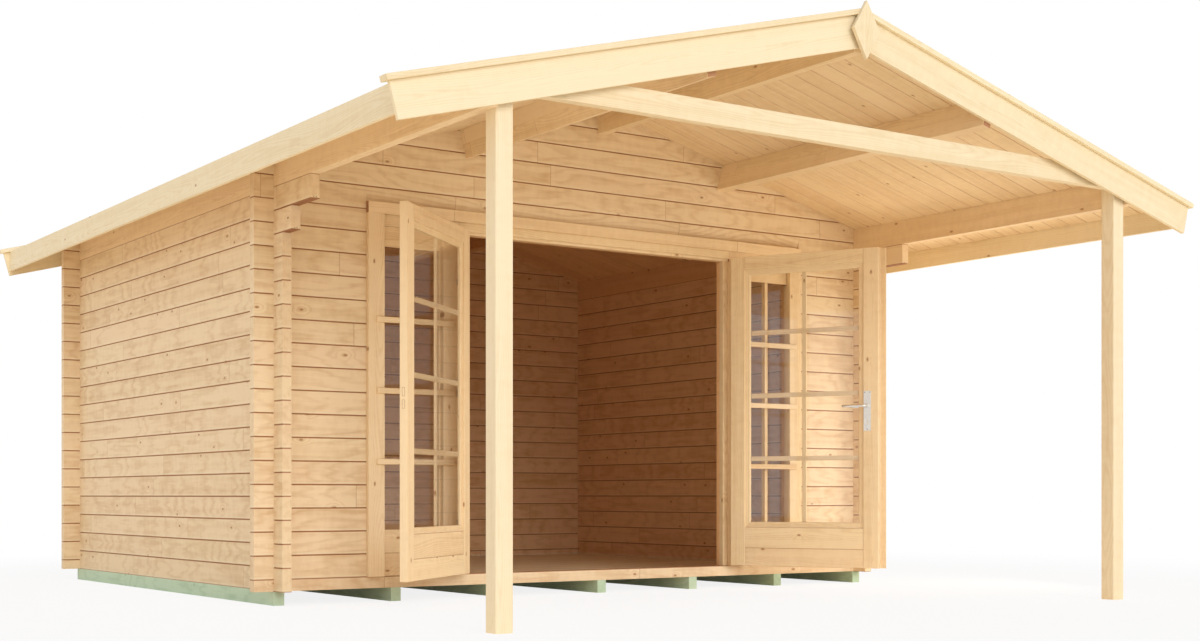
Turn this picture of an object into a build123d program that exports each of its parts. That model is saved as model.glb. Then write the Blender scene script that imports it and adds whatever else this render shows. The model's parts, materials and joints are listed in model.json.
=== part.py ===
from build123d import *
import math
import os

# A log cabin for a garden: interlocking spruce logs, a gable roof that runs far
# forward over two posts, and a glazed double door between two fixed sidelights.
# Units are millimetres. X runs across the front, Y from front to back, Z up.
# The origin lies on the ground, under the middle of the whole outline.

# Logs and walls
log_height = 121.0
log_thickness = 50.0
side_courses = 17
house_width = 4050.0
house_depth = 3250.0
corner_reach = 107.0
seam_bevel = 5.0
lower_corbel_reach = 215.0
upper_corbel_reach = 440.0
tongue_groove_width = 7.0
tongue_groove_depth = 11.0
tongue_groove_offset = 7.0
drip_nose_height = 72.0
drip_nose_depth = 13.0

# Foundation and floor
foundation_count = 7
foundation_width = 58.0
foundation_height = 73.0
floor_thickness = 19.0

# Roof
roof_pitch = 15.0
roof_rise_over_plate = 134.0
roof_board_thickness = 18.0
eave_overhang = 395.0
canopy_depth = 2129.0
rear_overhang = 107.0
fascia_thickness = 20.0
fascia_drop = 106.0
barge_thickness = 20.0
barge_drop = 139.0
barge_side_lap = 38.0
cap_thickness = 25.0
cap_width = 60.0
cap_projection = 20.0
cap_side_lap = 24.0
cap_joint = 1.0
diamond_width = 165.0
diamond_height = 278.0
diamond_thickness = 20.0
diamond_drop = 63.0

# Purlins, posts and tie beam
ridge_purlin_depth = 160.0
ridge_purlin_width = 50.0
mid_purlin_depth = 156.0
mid_purlin_width = 50.0
mid_purlin_offset = 916.0
post_size = 84.0
post_setback = 23.0
post_chamfer = 4.0
tie_beam_depth = 104.0
tie_beam_width = 50.0
tie_beam_gap = 92.0

# Door frame, casings and sidelights
door_width = 1892.0
sidelight_width = 370.0
mullion_width = 114.0
jamb_width = 40.0
frame_head_height = 80.0
frame_inner_reach = 28.0
casing_thickness = 28.0
casing_width = 95.0
casing_lap = 35.0
header_casing_height = 60.0
header_casing_lap = 20.0
stop_width = 38.0
stop_depth = 20.0
sidelight_thickness = 36.0
sidelight_setback = 4.0
sidelight_sill_height = 248.0
sidelight_head_height = 110.0
sidelight_edge = 12.0
foot_board_height = 122.0
joint_groove_width = 4.0
joint_groove_depth = 2.0

# Door leaves
leaf_thickness = 40.0
leaf_gap = 6.0
leaf_bottom_gap = 5.0
leaf_proud = 2.0
stile_width = 92.0
top_rail_height = 80.0
bottom_panel_height = 232.0
panel_board_height = 108.0
bead_width = 33.0
bead_setback = 8.0
glass_thickness = 4.0
glass_rebate = 8.0
astragal_width = 54.0
astragal_thickness = 14.0
astragal_lap = 30.0
astragal_relief = 6.0
left_open_angle = 139.0
right_open_angle = 116.0

# Hinges, handle and lock
hinge_height = 70.0
hinge_radius = 6.0
hinge_pin_radius = 3.5
hinge_pin_clearance = 0.3
hinge_plate_width = 32.0
hinge_plate_thickness = 2.5
hinge_axis_proud = 8.0
lower_hinge_level = 394.0
middle_hinge_level = 1102.0
upper_hinge_level = 1702.0
handle_plate_width = 44.0
handle_plate_height = 231.0
handle_plate_thickness = 3.0
handle_plate_corner = 4.0
handle_plate_inset = 66.0
handle_plate_bottom = 799.0
keyhole_height = 54.0
keyhole_radius = 4.0
keyhole_slot_width = 3.0
keyhole_slot_height = 12.0
lever_height = 943.0
lever_length = 140.0
lever_radius = 8.0
lever_standoff = 38.0
spindle_radius = 6.0
spindle_clearance = 0.5
lock_plate_height = 138.0
lock_plate_width = 20.0
lock_plate_thickness = 2.0
lock_plate_bottom = 830.0

# How far a cutting body runs past what it cuts
overrun = 200.0

# Places that follow from the sizes
slope = math.tan(math.radians(roof_pitch))
slope_cosine = math.cos(math.radians(roof_pitch))
slope_sine = math.sin(math.radians(roof_pitch))
half_width = house_width / 2
inner_half_width = half_width - log_thickness
wall_base = foundation_height
plate_level = wall_base + side_courses * log_height
ridge_level = plate_level + roof_rise_over_plate + slope * half_width
mid_purlin_top = ridge_level - slope * mid_purlin_offset
mid_purlin_fall = mid_purlin_depth * slope_cosine + mid_purlin_width / 2 * slope_sine
tie_beam_top = mid_purlin_top - mid_purlin_fall - tie_beam_gap
roof_lift = roof_board_thickness / slope_cosine
cap_lift = cap_thickness / slope_cosine
eave_x = half_width + eave_overhang
fascia_outer_x = eave_x + fascia_thickness
barge_end_x = fascia_outer_x + barge_side_lap
cap_end_x = barge_end_x + cap_side_lap
front_reach = canopy_depth + barge_thickness + cap_projection + diamond_thickness
rear_reach = rear_overhang + barge_thickness + cap_projection
front_y = front_reach - (front_reach + house_depth + rear_reach) / 2
back_y = front_y + house_depth
roof_front_y = front_y - canopy_depth
roof_back_y = back_y + rear_overhang
half_door = door_width / 2
half_opening = half_door + mullion_width + sidelight_width + jamb_width
sill_level = wall_base + log_height / 2
opening_top = wall_base + (side_courses - 0.5) * log_height
head_bottom = opening_top - frame_head_height
casing_front_y = front_y - casing_thickness
leaf_front_y = casing_front_y - leaf_proud
leaf_back_y = leaf_front_y + leaf_thickness
leaf_bottom = sill_level + leaf_bottom_gap
leaf_top = head_bottom + 10.0
leaf_width = half_door - leaf_gap - leaf_gap / 2
hinge_axis_x = half_door
hinge_axis_y = casing_front_y - hinge_axis_proud

os.makedirs("parts", exist_ok=True)


def save(shape, name):
    export_step(shape, f"parts/{name}.step")


def block(x0, x1, y0, y1, z0, z1):
    """A box between two corners."""
    size = (abs(x1 - x0), abs(y1 - y0), abs(z1 - z0))
    middle = ((x0 + x1) / 2, (y0 + y1) / 2, (z0 + z1) / 2)
    return Pos(*middle) * Box(*size)


def section_solid(points, y0, y1):
    """A closed outline in X and Z, carried from y0 to y1."""
    outline = make_face(Polyline(*[(x, z) for x, z in points], close=True))
    face = Plane(origin=(0, y0, 0), x_dir=(1, 0, 0), z_dir=(0, -1, 0)) * outline
    return extrude(face, amount=-(y1 - y0))


def cylinder_between(x, y, z0, z1, radius):
    """An upright round bar."""
    return Pos(x, y, (z0 + z1) / 2) * Cylinder(radius, z1 - z0)


def roof_under(x):
    """Height of the roof boards' underside at x."""
    return ridge_level - slope * abs(x)


def mirror_x(shape):
    """The same shape on the other side of the ridge."""
    return mirror(shape, about=Plane.YZ)


def both_sides(shape):
    """The shape and its mirror image, as separate solids."""
    return Compound(children=[*shape.solids(), *mirror_x(shape).solids()])


def under_roof():
    """The space below the roof boards, used to trim what runs up to them."""
    reach = cap_end_x + overrun
    points = [
        (-reach, -overrun),
        (reach, -overrun),
        (reach, roof_under(reach)),
        (0, ridge_level),
        (-reach, roof_under(reach)),
    ]
    return section_solid(points, roof_front_y - overrun, roof_back_y + overrun)


def log_stack_outline(base, top, seams):
    """Section across a stack of logs: a bevel at both faces of every seam."""
    outer = [(0, base)]
    for seam in seams:
        outer.append((0, seam - seam_bevel))
        outer.append((seam_bevel, seam))
        outer.append((0, seam + seam_bevel))
    outer.append((0, top))
    inner = [(log_thickness - u, z) for u, z in reversed(outer)]
    return outer + inner


def course(n):
    """Height of the n-th seam of the side walls above the ground."""
    return wall_base + n * log_height


def side_stack(y0, y1, first, last):
    """Logs of the left wall from course first to course last."""
    seams = [course(n) for n in range(first + 1, last)]
    points = log_stack_outline(course(first), course(last), seams)
    shifted = [(u - half_width, z) for u, z in points]
    return section_solid(shifted, y0, y1)


def cross_stack(x0, x1, y_face, base, top):
    """Logs of a front or back wall, whose seams lie half a course higher."""
    levels = [course(n + 0.5) for n in range(0, side_courses + 6)]
    seams = [z for z in levels if base + seam_bevel < z < top - seam_bevel]
    points = log_stack_outline(base, top, seams)
    outline = make_face(Polyline(*[(u, z) for u, z in points], close=True))
    face = Plane(origin=(x0, y_face, 0), x_dir=(0, 1, 0), z_dir=(1, 0, 0)) * outline
    return extrude(face, amount=x1 - x0)


def crossing_slots(y_face, for_side_wall, top):
    """What is cut from the left corner column, so that two walls interlock.

    Each log keeps a neck half a course high where it crosses the other wall:
    side logs keep the middle of their course, cross logs the stretch between.
    """
    slots = []
    start = -0.25 if for_side_wall else 0.25
    n = start
    while course(n) < top:
        low = max(course(n), wall_base - 1)
        high = min(course(n + 0.5), top)
        slots.append(
            block(-half_width, -inner_half_width, y_face, y_face + log_thickness, low, high)
        )
        n += 1
    return slots


def cut_all(shape, tools):
    for tool in tools:
        shape = shape - tool
    return shape


def log_grooves(y0, y1, level):
    """The two grooves milled along the underside of a log, open at its free end."""
    middle = -half_width + log_thickness / 2
    grooves = []
    for side in (-1, 1):
        x0 = middle + side * tongue_groove_offset - tongue_groove_width / 2
        x1 = x0 + tongue_groove_width
        grooves.append(block(x0, x1, y0, y1, level, level + tongue_groove_depth))
    return grooves


# Walls
def left_wall():
    """Seventeen logs with crossed ends, and two corbels under the eave purlin."""
    top = side_courses
    corner = front_y - corner_reach
    lower = front_y - lower_corbel_reach
    upper = front_y - upper_corbel_reach
    wall = side_stack(corner, back_y + corner_reach, 0, top)
    wall = wall + side_stack(lower, corner, top - 2, top)
    wall = wall + side_stack(upper, corner, top - 1, top)
    wall = cut_all(wall, log_grooves(lower, corner, course(top - 2)))
    wall = cut_all(wall, log_grooves(upper, lower, course(top - 1)))
    for y_face in (front_y, back_y - log_thickness):
        wall = cut_all(wall, crossing_slots(y_face, True, plate_level + 1))
    return wall


def purlin_voids():
    """The purlins' own sections, cut out of the gables that they pass through."""
    return [eave_purlin_outline(), mid_purlin(), ridge_purlin()]


def cross_wall(x0, x1, y_face, base, top):
    """A stretch of front or back wall, interlocked at the left corner."""
    wall = cross_stack(x0, x1, y_face, base, top)
    for slot in crossing_slots(y_face, False, top + 1):
        wall = wall - slot
        wall = wall - mirror_x(slot)
    if top > plate_level:
        wall = wall & under_roof()
        for void in purlin_voids():
            wall = wall - void
            wall = wall - mirror_x(void)
    return wall


def back_wall():
    end = half_width + corner_reach
    y_face = back_y - log_thickness
    return cross_wall(-end, end, y_face, wall_base, ridge_level + 1)


def drip_nose():
    """What is milled off the log over the header: its face rounds back to the casing."""
    outer = half_opening + casing_lap
    low = opening_top - header_casing_lap + header_casing_height
    top = low + drip_nose_height
    radius = (drip_nose_depth**2 + drip_nose_height**2) / (2 * drip_nose_depth)
    strip = block(-outer, outer, front_y, front_y + drip_nose_depth, low, top)
    round_face = Rot(0, 90, 0) * Cylinder(radius, 2 * outer + overrun)
    return strip - Pos(0, front_y + radius, top) * round_face


def front_gable():
    end = half_width + corner_reach
    gable = cross_wall(-end, end, front_y, opening_top, ridge_level + 1)
    return gable - drip_nose()


def front_wall_left():
    end = half_width + corner_reach
    return cross_wall(-end, -half_opening, front_y, sill_level, opening_top)


def front_sill():
    end = half_width + corner_reach
    return cross_wall(-end, end, front_y, wall_base, sill_level)


# Roof carriers
def eave_purlin_outline():
    points = [
        (-half_width, plate_level),
        (-inner_half_width, plate_level),
        (-inner_half_width, roof_under(inner_half_width)),
        (-half_width, roof_under(half_width)),
    ]
    return section_solid(points, roof_front_y, roof_back_y)


def left_eave_purlin():
    """Rests on the side wall, notched over the top cross log at both corners."""
    purlin = eave_purlin_outline()
    for y_face in (front_y, back_y - log_thickness):
        purlin = purlin - block(
            -half_width,
            -inner_half_width,
            y_face,
            y_face + log_thickness,
            plate_level - 1,
            plate_level + log_height / 4,
        )
    return purlin


def mid_purlin():
    """Set square to the roof slope, with its top along the boards."""
    left = -mid_purlin_offset - mid_purlin_width / 2
    beam = block(
        left,
        left + mid_purlin_width,
        roof_front_y,
        roof_back_y,
        mid_purlin_top - mid_purlin_depth,
        mid_purlin_top,
    )
    axis = Axis((-mid_purlin_offset, 0, mid_purlin_top), (0, 1, 0))
    return beam.rotate(axis, -roof_pitch)


def ridge_purlin():
    half = ridge_purlin_width / 2
    low = ridge_level - ridge_purlin_depth
    points = [
        (-half, low),
        (half, low),
        (half, roof_under(half)),
        (0, ridge_level),
        (-half, roof_under(half)),
    ]
    return section_solid(points, roof_front_y, roof_back_y)


def left_post():
    """Square post, clear of the purlin that is fixed to its outer face."""
    y0 = roof_front_y + post_setback
    post = block(
        -inner_half_width,
        -inner_half_width + post_size,
        y0,
        y0 + post_size,
        0,
        ridge_level,
    )
    post = chamfer(post.edges().filter_by(Axis.Z), post_chamfer)
    return post & under_roof()


def tie_beam():
    """Spans between the posts below the mid purlins, its ends cut to the roof slope."""
    end = inner_half_width - post_size
    y0 = roof_front_y + post_setback
    low = tie_beam_top - tie_beam_depth
    beam = block(-end, end, y0, y0 + tie_beam_width, low, tie_beam_top)
    return beam & under_roof()


# Roof skin and trim
def slope_strip(x_end, below, above, y0, y1):
    """A board along the left slope, from the ridge plane, square at the eave."""
    tilt = math.radians(roof_pitch)
    top = (-x_end, roof_under(x_end) + above)
    drop = (above + below) * slope_cosine
    bottom = (top[0] + drop * math.sin(tilt), top[1] - drop * math.cos(tilt))
    points = [(0, ridge_level - below), (0, ridge_level + above), top, bottom]
    return section_solid(points, y0, y1)


def left_roof():
    points = [
        (0, ridge_level),
        (0, ridge_level + roof_lift),
        (-eave_x, roof_under(eave_x) + roof_lift),
        (-eave_x, roof_under(eave_x)),
    ]
    return section_solid(points, roof_front_y, roof_back_y)


def left_fascia():
    points = [
        (-eave_x, roof_under(eave_x) + roof_lift),
        (-fascia_outer_x, roof_under(fascia_outer_x) + roof_lift),
        (-fascia_outer_x, roof_under(fascia_outer_x) - fascia_drop),
        (-eave_x, roof_under(fascia_outer_x) - fascia_drop),
    ]
    return section_solid(points, roof_front_y, roof_back_y)


def barge_board(y0):
    return slope_strip(barge_end_x, barge_drop, roof_lift, y0, y0 + barge_thickness)


def barge_caps(y0):
    """Two strips along the verge, with a fine open joint where they meet."""
    strip = slope_strip(cap_end_x, -roof_lift, roof_lift + cap_lift, y0, y0 + cap_width)
    top = ridge_level + overrun
    joint = block(-cap_joint / 2, cap_joint / 2, y0, y0 + cap_width, 0, top)
    left = strip - joint
    return Compound(children=[left, mirror_x(left)])


def diamond():
    y1 = roof_front_y - barge_thickness - cap_projection
    middle = ridge_level - diamond_drop
    points = [
        (0, middle - diamond_height / 2),
        (diamond_width / 2, middle),
        (0, middle + diamond_height / 2),
        (-diamond_width / 2, middle),
    ]
    return section_solid(points, y1 - diamond_thickness, y1)


# Foundation and floor
def foundation_beams():
    pitch = (house_width - foundation_width) / (foundation_count - 1)
    beams = []
    for i in range(foundation_count):
        x0 = -half_width + i * pitch
        beams.append(block(x0, x0 + foundation_width, front_y, back_y, 0, foundation_height))
    return Compound(children=beams)


def floor():
    return block(
        -inner_half_width,
        inner_half_width,
        front_y + log_thickness,
        back_y - log_thickness,
        foundation_height,
        foundation_height + floor_thickness,
    )


# Door frame and sidelights
def door_frame():
    """Head, outer jambs and two mullions, with a stop round the double door."""
    inner_y = front_y + log_thickness + frame_inner_reach
    frame = block(-half_opening, half_opening, front_y, inner_y, head_bottom, opening_top)
    mullion_outer = half_door + mullion_width
    for side in (-1, 1):
        frame = frame + block(
            side * half_opening,
            side * (half_opening - jamb_width),
            front_y,
            inner_y,
            sill_level,
            head_bottom,
        )
        frame = frame + block(
            side * half_door,
            side * mullion_outer,
            casing_front_y,
            inner_y,
            sill_level,
            head_bottom,
        )
        frame = frame + block(
            side * half_door,
            side * (half_door - stop_width),
            leaf_back_y + leaf_bottom_gap,
            inner_y,
            sill_level,
            head_bottom,
        )
    rebate = block(
        -half_door,
        half_door,
        front_y,
        leaf_back_y + leaf_bottom_gap,
        head_bottom,
        leaf_top + leaf_bottom_gap,
    )
    return frame - rebate


def left_casing():
    outer = half_opening + casing_lap
    return block(
        -outer,
        -outer + casing_width,
        casing_front_y,
        front_y,
        sill_level,
        opening_top - header_casing_lap,
    )


def header_casing():
    outer = half_opening + casing_lap
    low = opening_top - header_casing_lap
    return block(-outer, outer, casing_front_y, front_y, low, low + header_casing_height)


def glazing_sheet(x0, x1, y_middle, z0, z1):
    half = glass_thickness / 2
    return block(
        x0 - glass_rebate,
        x1 + glass_rebate,
        y_middle - half,
        y_middle + half,
        z0 - glass_rebate,
        z1 + glass_rebate,
    )


def joint_groove(x0, x1, y_face, z):
    """The small V where two boards meet on a face."""
    half = joint_groove_width / 2
    tip = joint_groove_depth
    points = [(y_face - tip, z), (y_face, z + half), (y_face + tip, z), (y_face, z - half)]
    outline = make_face(Polyline(*points, close=True))
    face = Plane(origin=(x0, 0, 0), x_dir=(0, 1, 0), z_dir=(1, 0, 0)) * outline
    return extrude(face, amount=x1 - x0)


def left_sidelight():
    """Fixed light: glass over a boarded foot, set between jamb and mullion."""
    x0 = -(half_opening - jamb_width)
    x1 = -(half_door + mullion_width)
    y0 = front_y + sidelight_setback
    y1 = y0 + sidelight_thickness
    z0 = sill_level + sidelight_sill_height
    z1 = head_bottom - sidelight_head_height
    body = block(x0, x1, y0, y1, sill_level, head_bottom)
    body = body - block(x0 + sidelight_edge, x1 - sidelight_edge, y0, y1, z0, z1)
    sheet = glazing_sheet(
        x0 + sidelight_edge,
        x1 - sidelight_edge,
        (y0 + y1) / 2,
        z0,
        z1,
    )
    for y_face in (y0, y1):
        body = body - joint_groove(x0, x1, y_face, sill_level + foot_board_height)
    return body - sheet, sheet


# Door leaves, modelled shut and then swung to the open position
def left_leaf_parts():
    x0 = -half_door + leaf_gap
    x1 = x0 + leaf_width
    z0 = leaf_bottom
    z1 = leaf_top
    field = (
        x0 + stile_width,
        x1 - stile_width,
        z0 + bottom_panel_height,
        z1 - top_rail_height,
    )
    glass = (
        field[0] + bead_width,
        field[1] - bead_width,
        field[2] + bead_width,
        field[3] - bead_width,
    )
    leaf = block(x0, x1, leaf_front_y, leaf_back_y, z0, z1)
    for y0, y1 in (
        (leaf_front_y, leaf_front_y + bead_setback),
        (leaf_back_y - bead_setback, leaf_back_y),
    ):
        leaf = leaf - block(field[0], field[1], y0, y1, field[2], field[3])
    leaf = leaf - block(glass[0], glass[1], leaf_front_y, leaf_back_y, glass[2], glass[3])
    for y_face in (leaf_front_y, leaf_back_y):
        leaf = leaf - joint_groove(field[0], field[1], y_face, z0 + panel_board_height)
        leaf = leaf - joint_groove(field[0], field[1], y_face, field[2])
    y_middle = (leaf_front_y + leaf_back_y) / 2
    sheet = glazing_sheet(glass[0], glass[1], y_middle, glass[2], glass[3])
    return leaf - sheet, sheet


def hinge_pair(level):
    """Lower half with pin on the mullion, upper half on the leaf."""
    middle = level + hinge_height / 2
    x = -hinge_axis_x
    y = hinge_axis_y
    pin_top = level + hinge_height - 4
    fixed = cylinder_between(x, y, level, middle - 0.5, hinge_radius)
    fixed = fixed + cylinder_between(x, y, level, pin_top, hinge_pin_radius)
    fixed = fixed + block(
        x - hinge_plate_width,
        x,
        casing_front_y - hinge_plate_thickness,
        casing_front_y,
        level,
        middle - 0.5,
    )
    moving = cylinder_between(x, y, middle + 0.5, level + hinge_height, hinge_radius)
    moving = moving + block(
        x,
        x + hinge_plate_width,
        leaf_front_y - hinge_plate_thickness,
        leaf_front_y,
        middle + 0.5,
        level + hinge_height,
    )
    bore_radius = hinge_pin_radius + hinge_pin_clearance
    moving = moving - cylinder_between(x, y, middle - 1, pin_top + 1, bore_radius)
    return fixed, moving


def hinge_sets():
    levels = (lower_hinge_level, middle_hinge_level, upper_hinge_level)
    pairs = [hinge_pair(level) for level in levels]
    fixed = Compound(children=[pair[0] for pair in pairs])
    moving = Compound(children=[pair[1] for pair in pairs])
    return fixed, moving


def astragal():
    """Cover strip on the right leaf that laps over the left one when shut."""
    edge = leaf_gap / 2
    body = block(
        edge - astragal_lap,
        edge - astragal_lap + astragal_width,
        leaf_front_y - astragal_thickness,
        leaf_front_y,
        leaf_bottom,
        leaf_top,
    )
    relief = block(
        edge - astragal_lap,
        edge,
        leaf_front_y - astragal_relief,
        leaf_front_y,
        leaf_bottom,
        leaf_top,
    )
    return body - relief


def y_bar(x, z, y0, y1, radius):
    """A round bar along Y."""
    turned = Rot(90, 0, 0) * Cylinder(radius, abs(y1 - y0))
    return Pos(x, (y0 + y1) / 2, z) * turned


def handle_plate(outside):
    x = leaf_gap / 2 + handle_plate_inset
    if outside:
        y0 = leaf_front_y - handle_plate_thickness
        y1 = leaf_front_y
    else:
        y0 = leaf_back_y
        y1 = leaf_back_y + handle_plate_thickness
    low = leaf_bottom + handle_plate_bottom
    plate = block(
        x - handle_plate_width / 2,
        x + handle_plate_width / 2,
        y0,
        y1,
        low,
        low + handle_plate_height,
    )
    plate = fillet(plate.edges().filter_by(Axis.Y), handle_plate_corner)
    z = low + keyhole_height
    half = keyhole_slot_width / 2
    plate = plate - y_bar(x, z, y0, y1, keyhole_radius)
    plate = plate - block(x - half, x + half, y0, y1, z - keyhole_slot_height, z)
    return plate - spindle_bore()


def spindle_bore():
    x = leaf_gap / 2 + handle_plate_inset
    radius = spindle_radius + spindle_clearance
    reach = 20
    return y_bar(x, leaf_bottom + lever_height, leaf_front_y - reach, leaf_back_y + reach, radius)


def door_lever():
    """Spindle through the leaf, and on both faces a mitred lever that points to the hinges."""
    x = leaf_gap / 2 + handle_plate_inset
    z = leaf_bottom + lever_height
    out_face = leaf_front_y - handle_plate_thickness - spindle_clearance
    in_face = leaf_back_y + handle_plate_thickness + spindle_clearance
    body = y_bar(x, z, out_face, in_face, spindle_radius)
    for face, outward in ((out_face, -1), (in_face, 1)):
        far = face + outward * lever_standoff
        path = Polyline((x, face, z), (x, far, z), (x + lever_length, far, z))
        start = Plane(origin=(x, face, z), z_dir=(0, outward, 0)) * Circle(lever_radius)
        body = body + sweep(start, path=path, transition=Transition.RIGHT)
    return body


def lock_plate():
    """Face plate of the lock in the free edge of the left leaf."""
    x1 = -leaf_gap / 2
    y_middle = (leaf_front_y + leaf_back_y) / 2
    return block(
        x1 - lock_plate_thickness,
        x1,
        y_middle - lock_plate_width / 2,
        y_middle + lock_plate_width / 2,
        leaf_bottom + lock_plate_bottom,
        leaf_bottom + lock_plate_bottom + lock_plate_height,
    )


def swing(shape, side):
    """Open a leaf about its hinges: side -1 is the left leaf, 1 the right."""
    axis = Axis((side * hinge_axis_x, hinge_axis_y, 0), (0, 0, 1))
    angle = -left_open_angle if side < 0 else right_open_angle
    return shape.rotate(axis, angle)


def save_pair(shape, name):
    save(shape, f"left_{name}")
    save(mirror_x(shape), f"right_{name}")


def main():
    save(foundation_beams(), "foundation_beams")
    save(floor(), "floor")
    save_pair(left_wall(), "wall")
    save(back_wall(), "back_wall")
    save(front_sill(), "front_sill")
    save_pair(front_wall_left(), "front_wall")
    save(front_gable(), "front_gable")
    save_pair(left_eave_purlin(), "eave_purlin")
    save_pair(mid_purlin(), "mid_purlin")
    save(ridge_purlin(), "ridge_purlin")
    save_pair(left_post(), "post")
    save(tie_beam(), "tie_beam")
    save_pair(left_roof(), "roof")
    save_pair(left_fascia(), "eave_fascia")
    front_barge_y = roof_front_y - barge_thickness
    save_pair(barge_board(front_barge_y), "front_barge_board")
    save_pair(barge_board(roof_back_y), "rear_barge_board")
    front_cap_y = front_barge_y - cap_projection
    rear_cap_y = roof_back_y + barge_thickness + cap_projection - cap_width
    save(barge_caps(front_cap_y), "front_barge_caps")
    save(barge_caps(rear_cap_y), "rear_barge_caps")
    save(diamond(), "gable_diamond")

    save(door_frame(), "door_frame")
    save(both_sides(left_casing()), "side_casings")
    save(header_casing(), "header_casing")
    sidelight, sidelight_glass = left_sidelight()
    save_pair(sidelight, "sidelight")
    save(both_sides(sidelight_glass), "sidelight_glass")

    leaf, glass = left_leaf_parts()
    fixed_hinges, leaf_hinges = hinge_sets()
    save(both_sides(fixed_hinges), "frame_hinges")
    save(swing(leaf - lock_plate(), -1), "left_door_leaf")
    save(swing(glass, -1), "left_door_glass")
    save(swing(leaf_hinges, -1), "left_leaf_hinges")
    save(swing(lock_plate(), -1), "lock_plate")
    save(swing(mirror_x(leaf) - spindle_bore(), 1), "right_door_leaf")
    save(swing(mirror_x(glass), 1), "right_door_glass")
    save(swing(mirror_x(leaf_hinges), 1), "right_leaf_hinges")
    save(swing(astragal(), 1), "meeting_strip")
    plates = Compound(children=[handle_plate(True), handle_plate(False)])
    save(swing(plates, 1), "handle_plates")
    save(swing(door_lever(), 1), "door_lever")


main()
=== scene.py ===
import itertools
import json
import math

import bmesh
import bpy
import numpy as np
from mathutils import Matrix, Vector

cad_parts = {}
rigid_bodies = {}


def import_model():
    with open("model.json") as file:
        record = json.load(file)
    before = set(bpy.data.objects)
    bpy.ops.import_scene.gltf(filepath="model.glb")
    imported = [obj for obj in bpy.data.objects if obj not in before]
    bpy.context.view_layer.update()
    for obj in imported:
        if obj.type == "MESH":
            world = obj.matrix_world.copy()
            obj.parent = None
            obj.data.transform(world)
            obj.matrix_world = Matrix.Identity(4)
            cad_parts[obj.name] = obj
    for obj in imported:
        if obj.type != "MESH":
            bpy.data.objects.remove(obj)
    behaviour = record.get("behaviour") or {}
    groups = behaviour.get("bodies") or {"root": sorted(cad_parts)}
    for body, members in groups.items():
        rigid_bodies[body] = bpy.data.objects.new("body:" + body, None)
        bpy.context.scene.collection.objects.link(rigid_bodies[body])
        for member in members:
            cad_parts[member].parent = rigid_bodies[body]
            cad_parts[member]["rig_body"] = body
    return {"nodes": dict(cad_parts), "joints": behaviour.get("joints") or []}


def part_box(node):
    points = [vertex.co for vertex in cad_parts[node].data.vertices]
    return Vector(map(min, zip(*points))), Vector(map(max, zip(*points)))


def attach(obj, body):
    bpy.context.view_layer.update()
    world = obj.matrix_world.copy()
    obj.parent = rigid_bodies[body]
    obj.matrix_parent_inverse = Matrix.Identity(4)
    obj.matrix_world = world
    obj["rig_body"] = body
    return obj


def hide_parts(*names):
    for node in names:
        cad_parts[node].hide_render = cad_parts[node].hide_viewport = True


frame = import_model()

bl_info = {
    "name": "Garden log cabin",
    "version": (1, 0, 0),
    "blender": (4, 5, 0),
    "location": "3D View > Sidebar > Log cabin",
    "description": "Boards, glazing bars, fittings and finishes of a spruce log cabin",
    "category": "Object",
}

# What the frame says
WALL_LOW, WALL_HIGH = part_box("left_wall")
SIDE_COURSES = 17
LOG_HEIGHT = (WALL_HIGH.z - WALL_LOW.z) / SIDE_COURSES
ROOM_HALF = -WALL_HIGH.x
ROOM_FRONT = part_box("front_gable")[1].y
ROOM_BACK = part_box("back_wall")[0].y
ROOF_LOW, ROOF_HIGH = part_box("left_roof")
ROOF_PITCH = math.radians(15.0)
JOINTS = {joint["name"]: joint for joint in frame["joints"]}

X_AXIS = np.array((1.0, 0.0, 0.0))
Y_AXIS = np.array((0.0, 1.0, 0.0))
Z_AXIS = np.array((0.0, 0.0, 1.0))
SIDES = {"left": -1.0, "right": 1.0}
SIDE_WALLS = ("left_wall", "right_wall")
CROSS_WALLS = ("back_wall", "front_sill", "left_front_wall", "right_front_wall", "front_gable")

# Colours of linear light
WHITE = (1.0, 1.0, 1.0, 1.0)
CLEAR = (0.93, 0.93, 0.93, 1.0)
KEY_COLOUR = (1.0, 0.99, 0.98)
SIDE_COLOUR = (1.0, 0.86, 0.66)
FLOOR_BOUNCE = (0.94, 0.84, 0.70, 1.0)
FLOOR_LIGHT = (1.0, 0.84, 0.62, 1.0)


def size(name, default, description):
    """A length that a user may change, in metres."""
    return bpy.props.FloatProperty(
        name=name, description=description, default=default, min=0.0, precision=4,
        subtype="DISTANCE", unit="LENGTH",
    )


def bearing(name, default, description):
    """An angle that a user may change, given here in degrees."""
    return bpy.props.FloatProperty(
        name=name, description=description, default=math.radians(default),
        subtype="ANGLE", unit="ROTATION",
    )


def amount(name, default, description, **kind):
    """A plain number, such as the strength of a light."""
    return bpy.props.FloatProperty(name=name, description=description, default=default, **kind)


def share(name, default, description):
    """A part of a whole, from 0 to 1."""
    return amount(name, default, description, min=0.0, max=1.0, subtype="FACTOR")


def spot(name, default, description):
    """A place in the scene."""
    return bpy.props.FloatVectorProperty(
        name=name, description=description, default=default, subtype="TRANSLATION", unit="LENGTH"
    )


def colour(name, default, description):
    """A colour, given as the eye sees it and kept as linear light."""
    return bpy.props.FloatVectorProperty(
        name=name, description=description, default=linear(default), size=3, min=0.0, max=1.0,
        subtype="COLOR",
    )


def linear(values):
    """Display values from 0 to 255 as linear light: ((v + 0.055) / 1.055) to the 2.4th power."""
    v = np.array(values, float) / 255.0
    return tuple(np.where(v <= 0.04045, v / 12.92, ((v + 0.055) / 1.055) ** 2.4))


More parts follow.
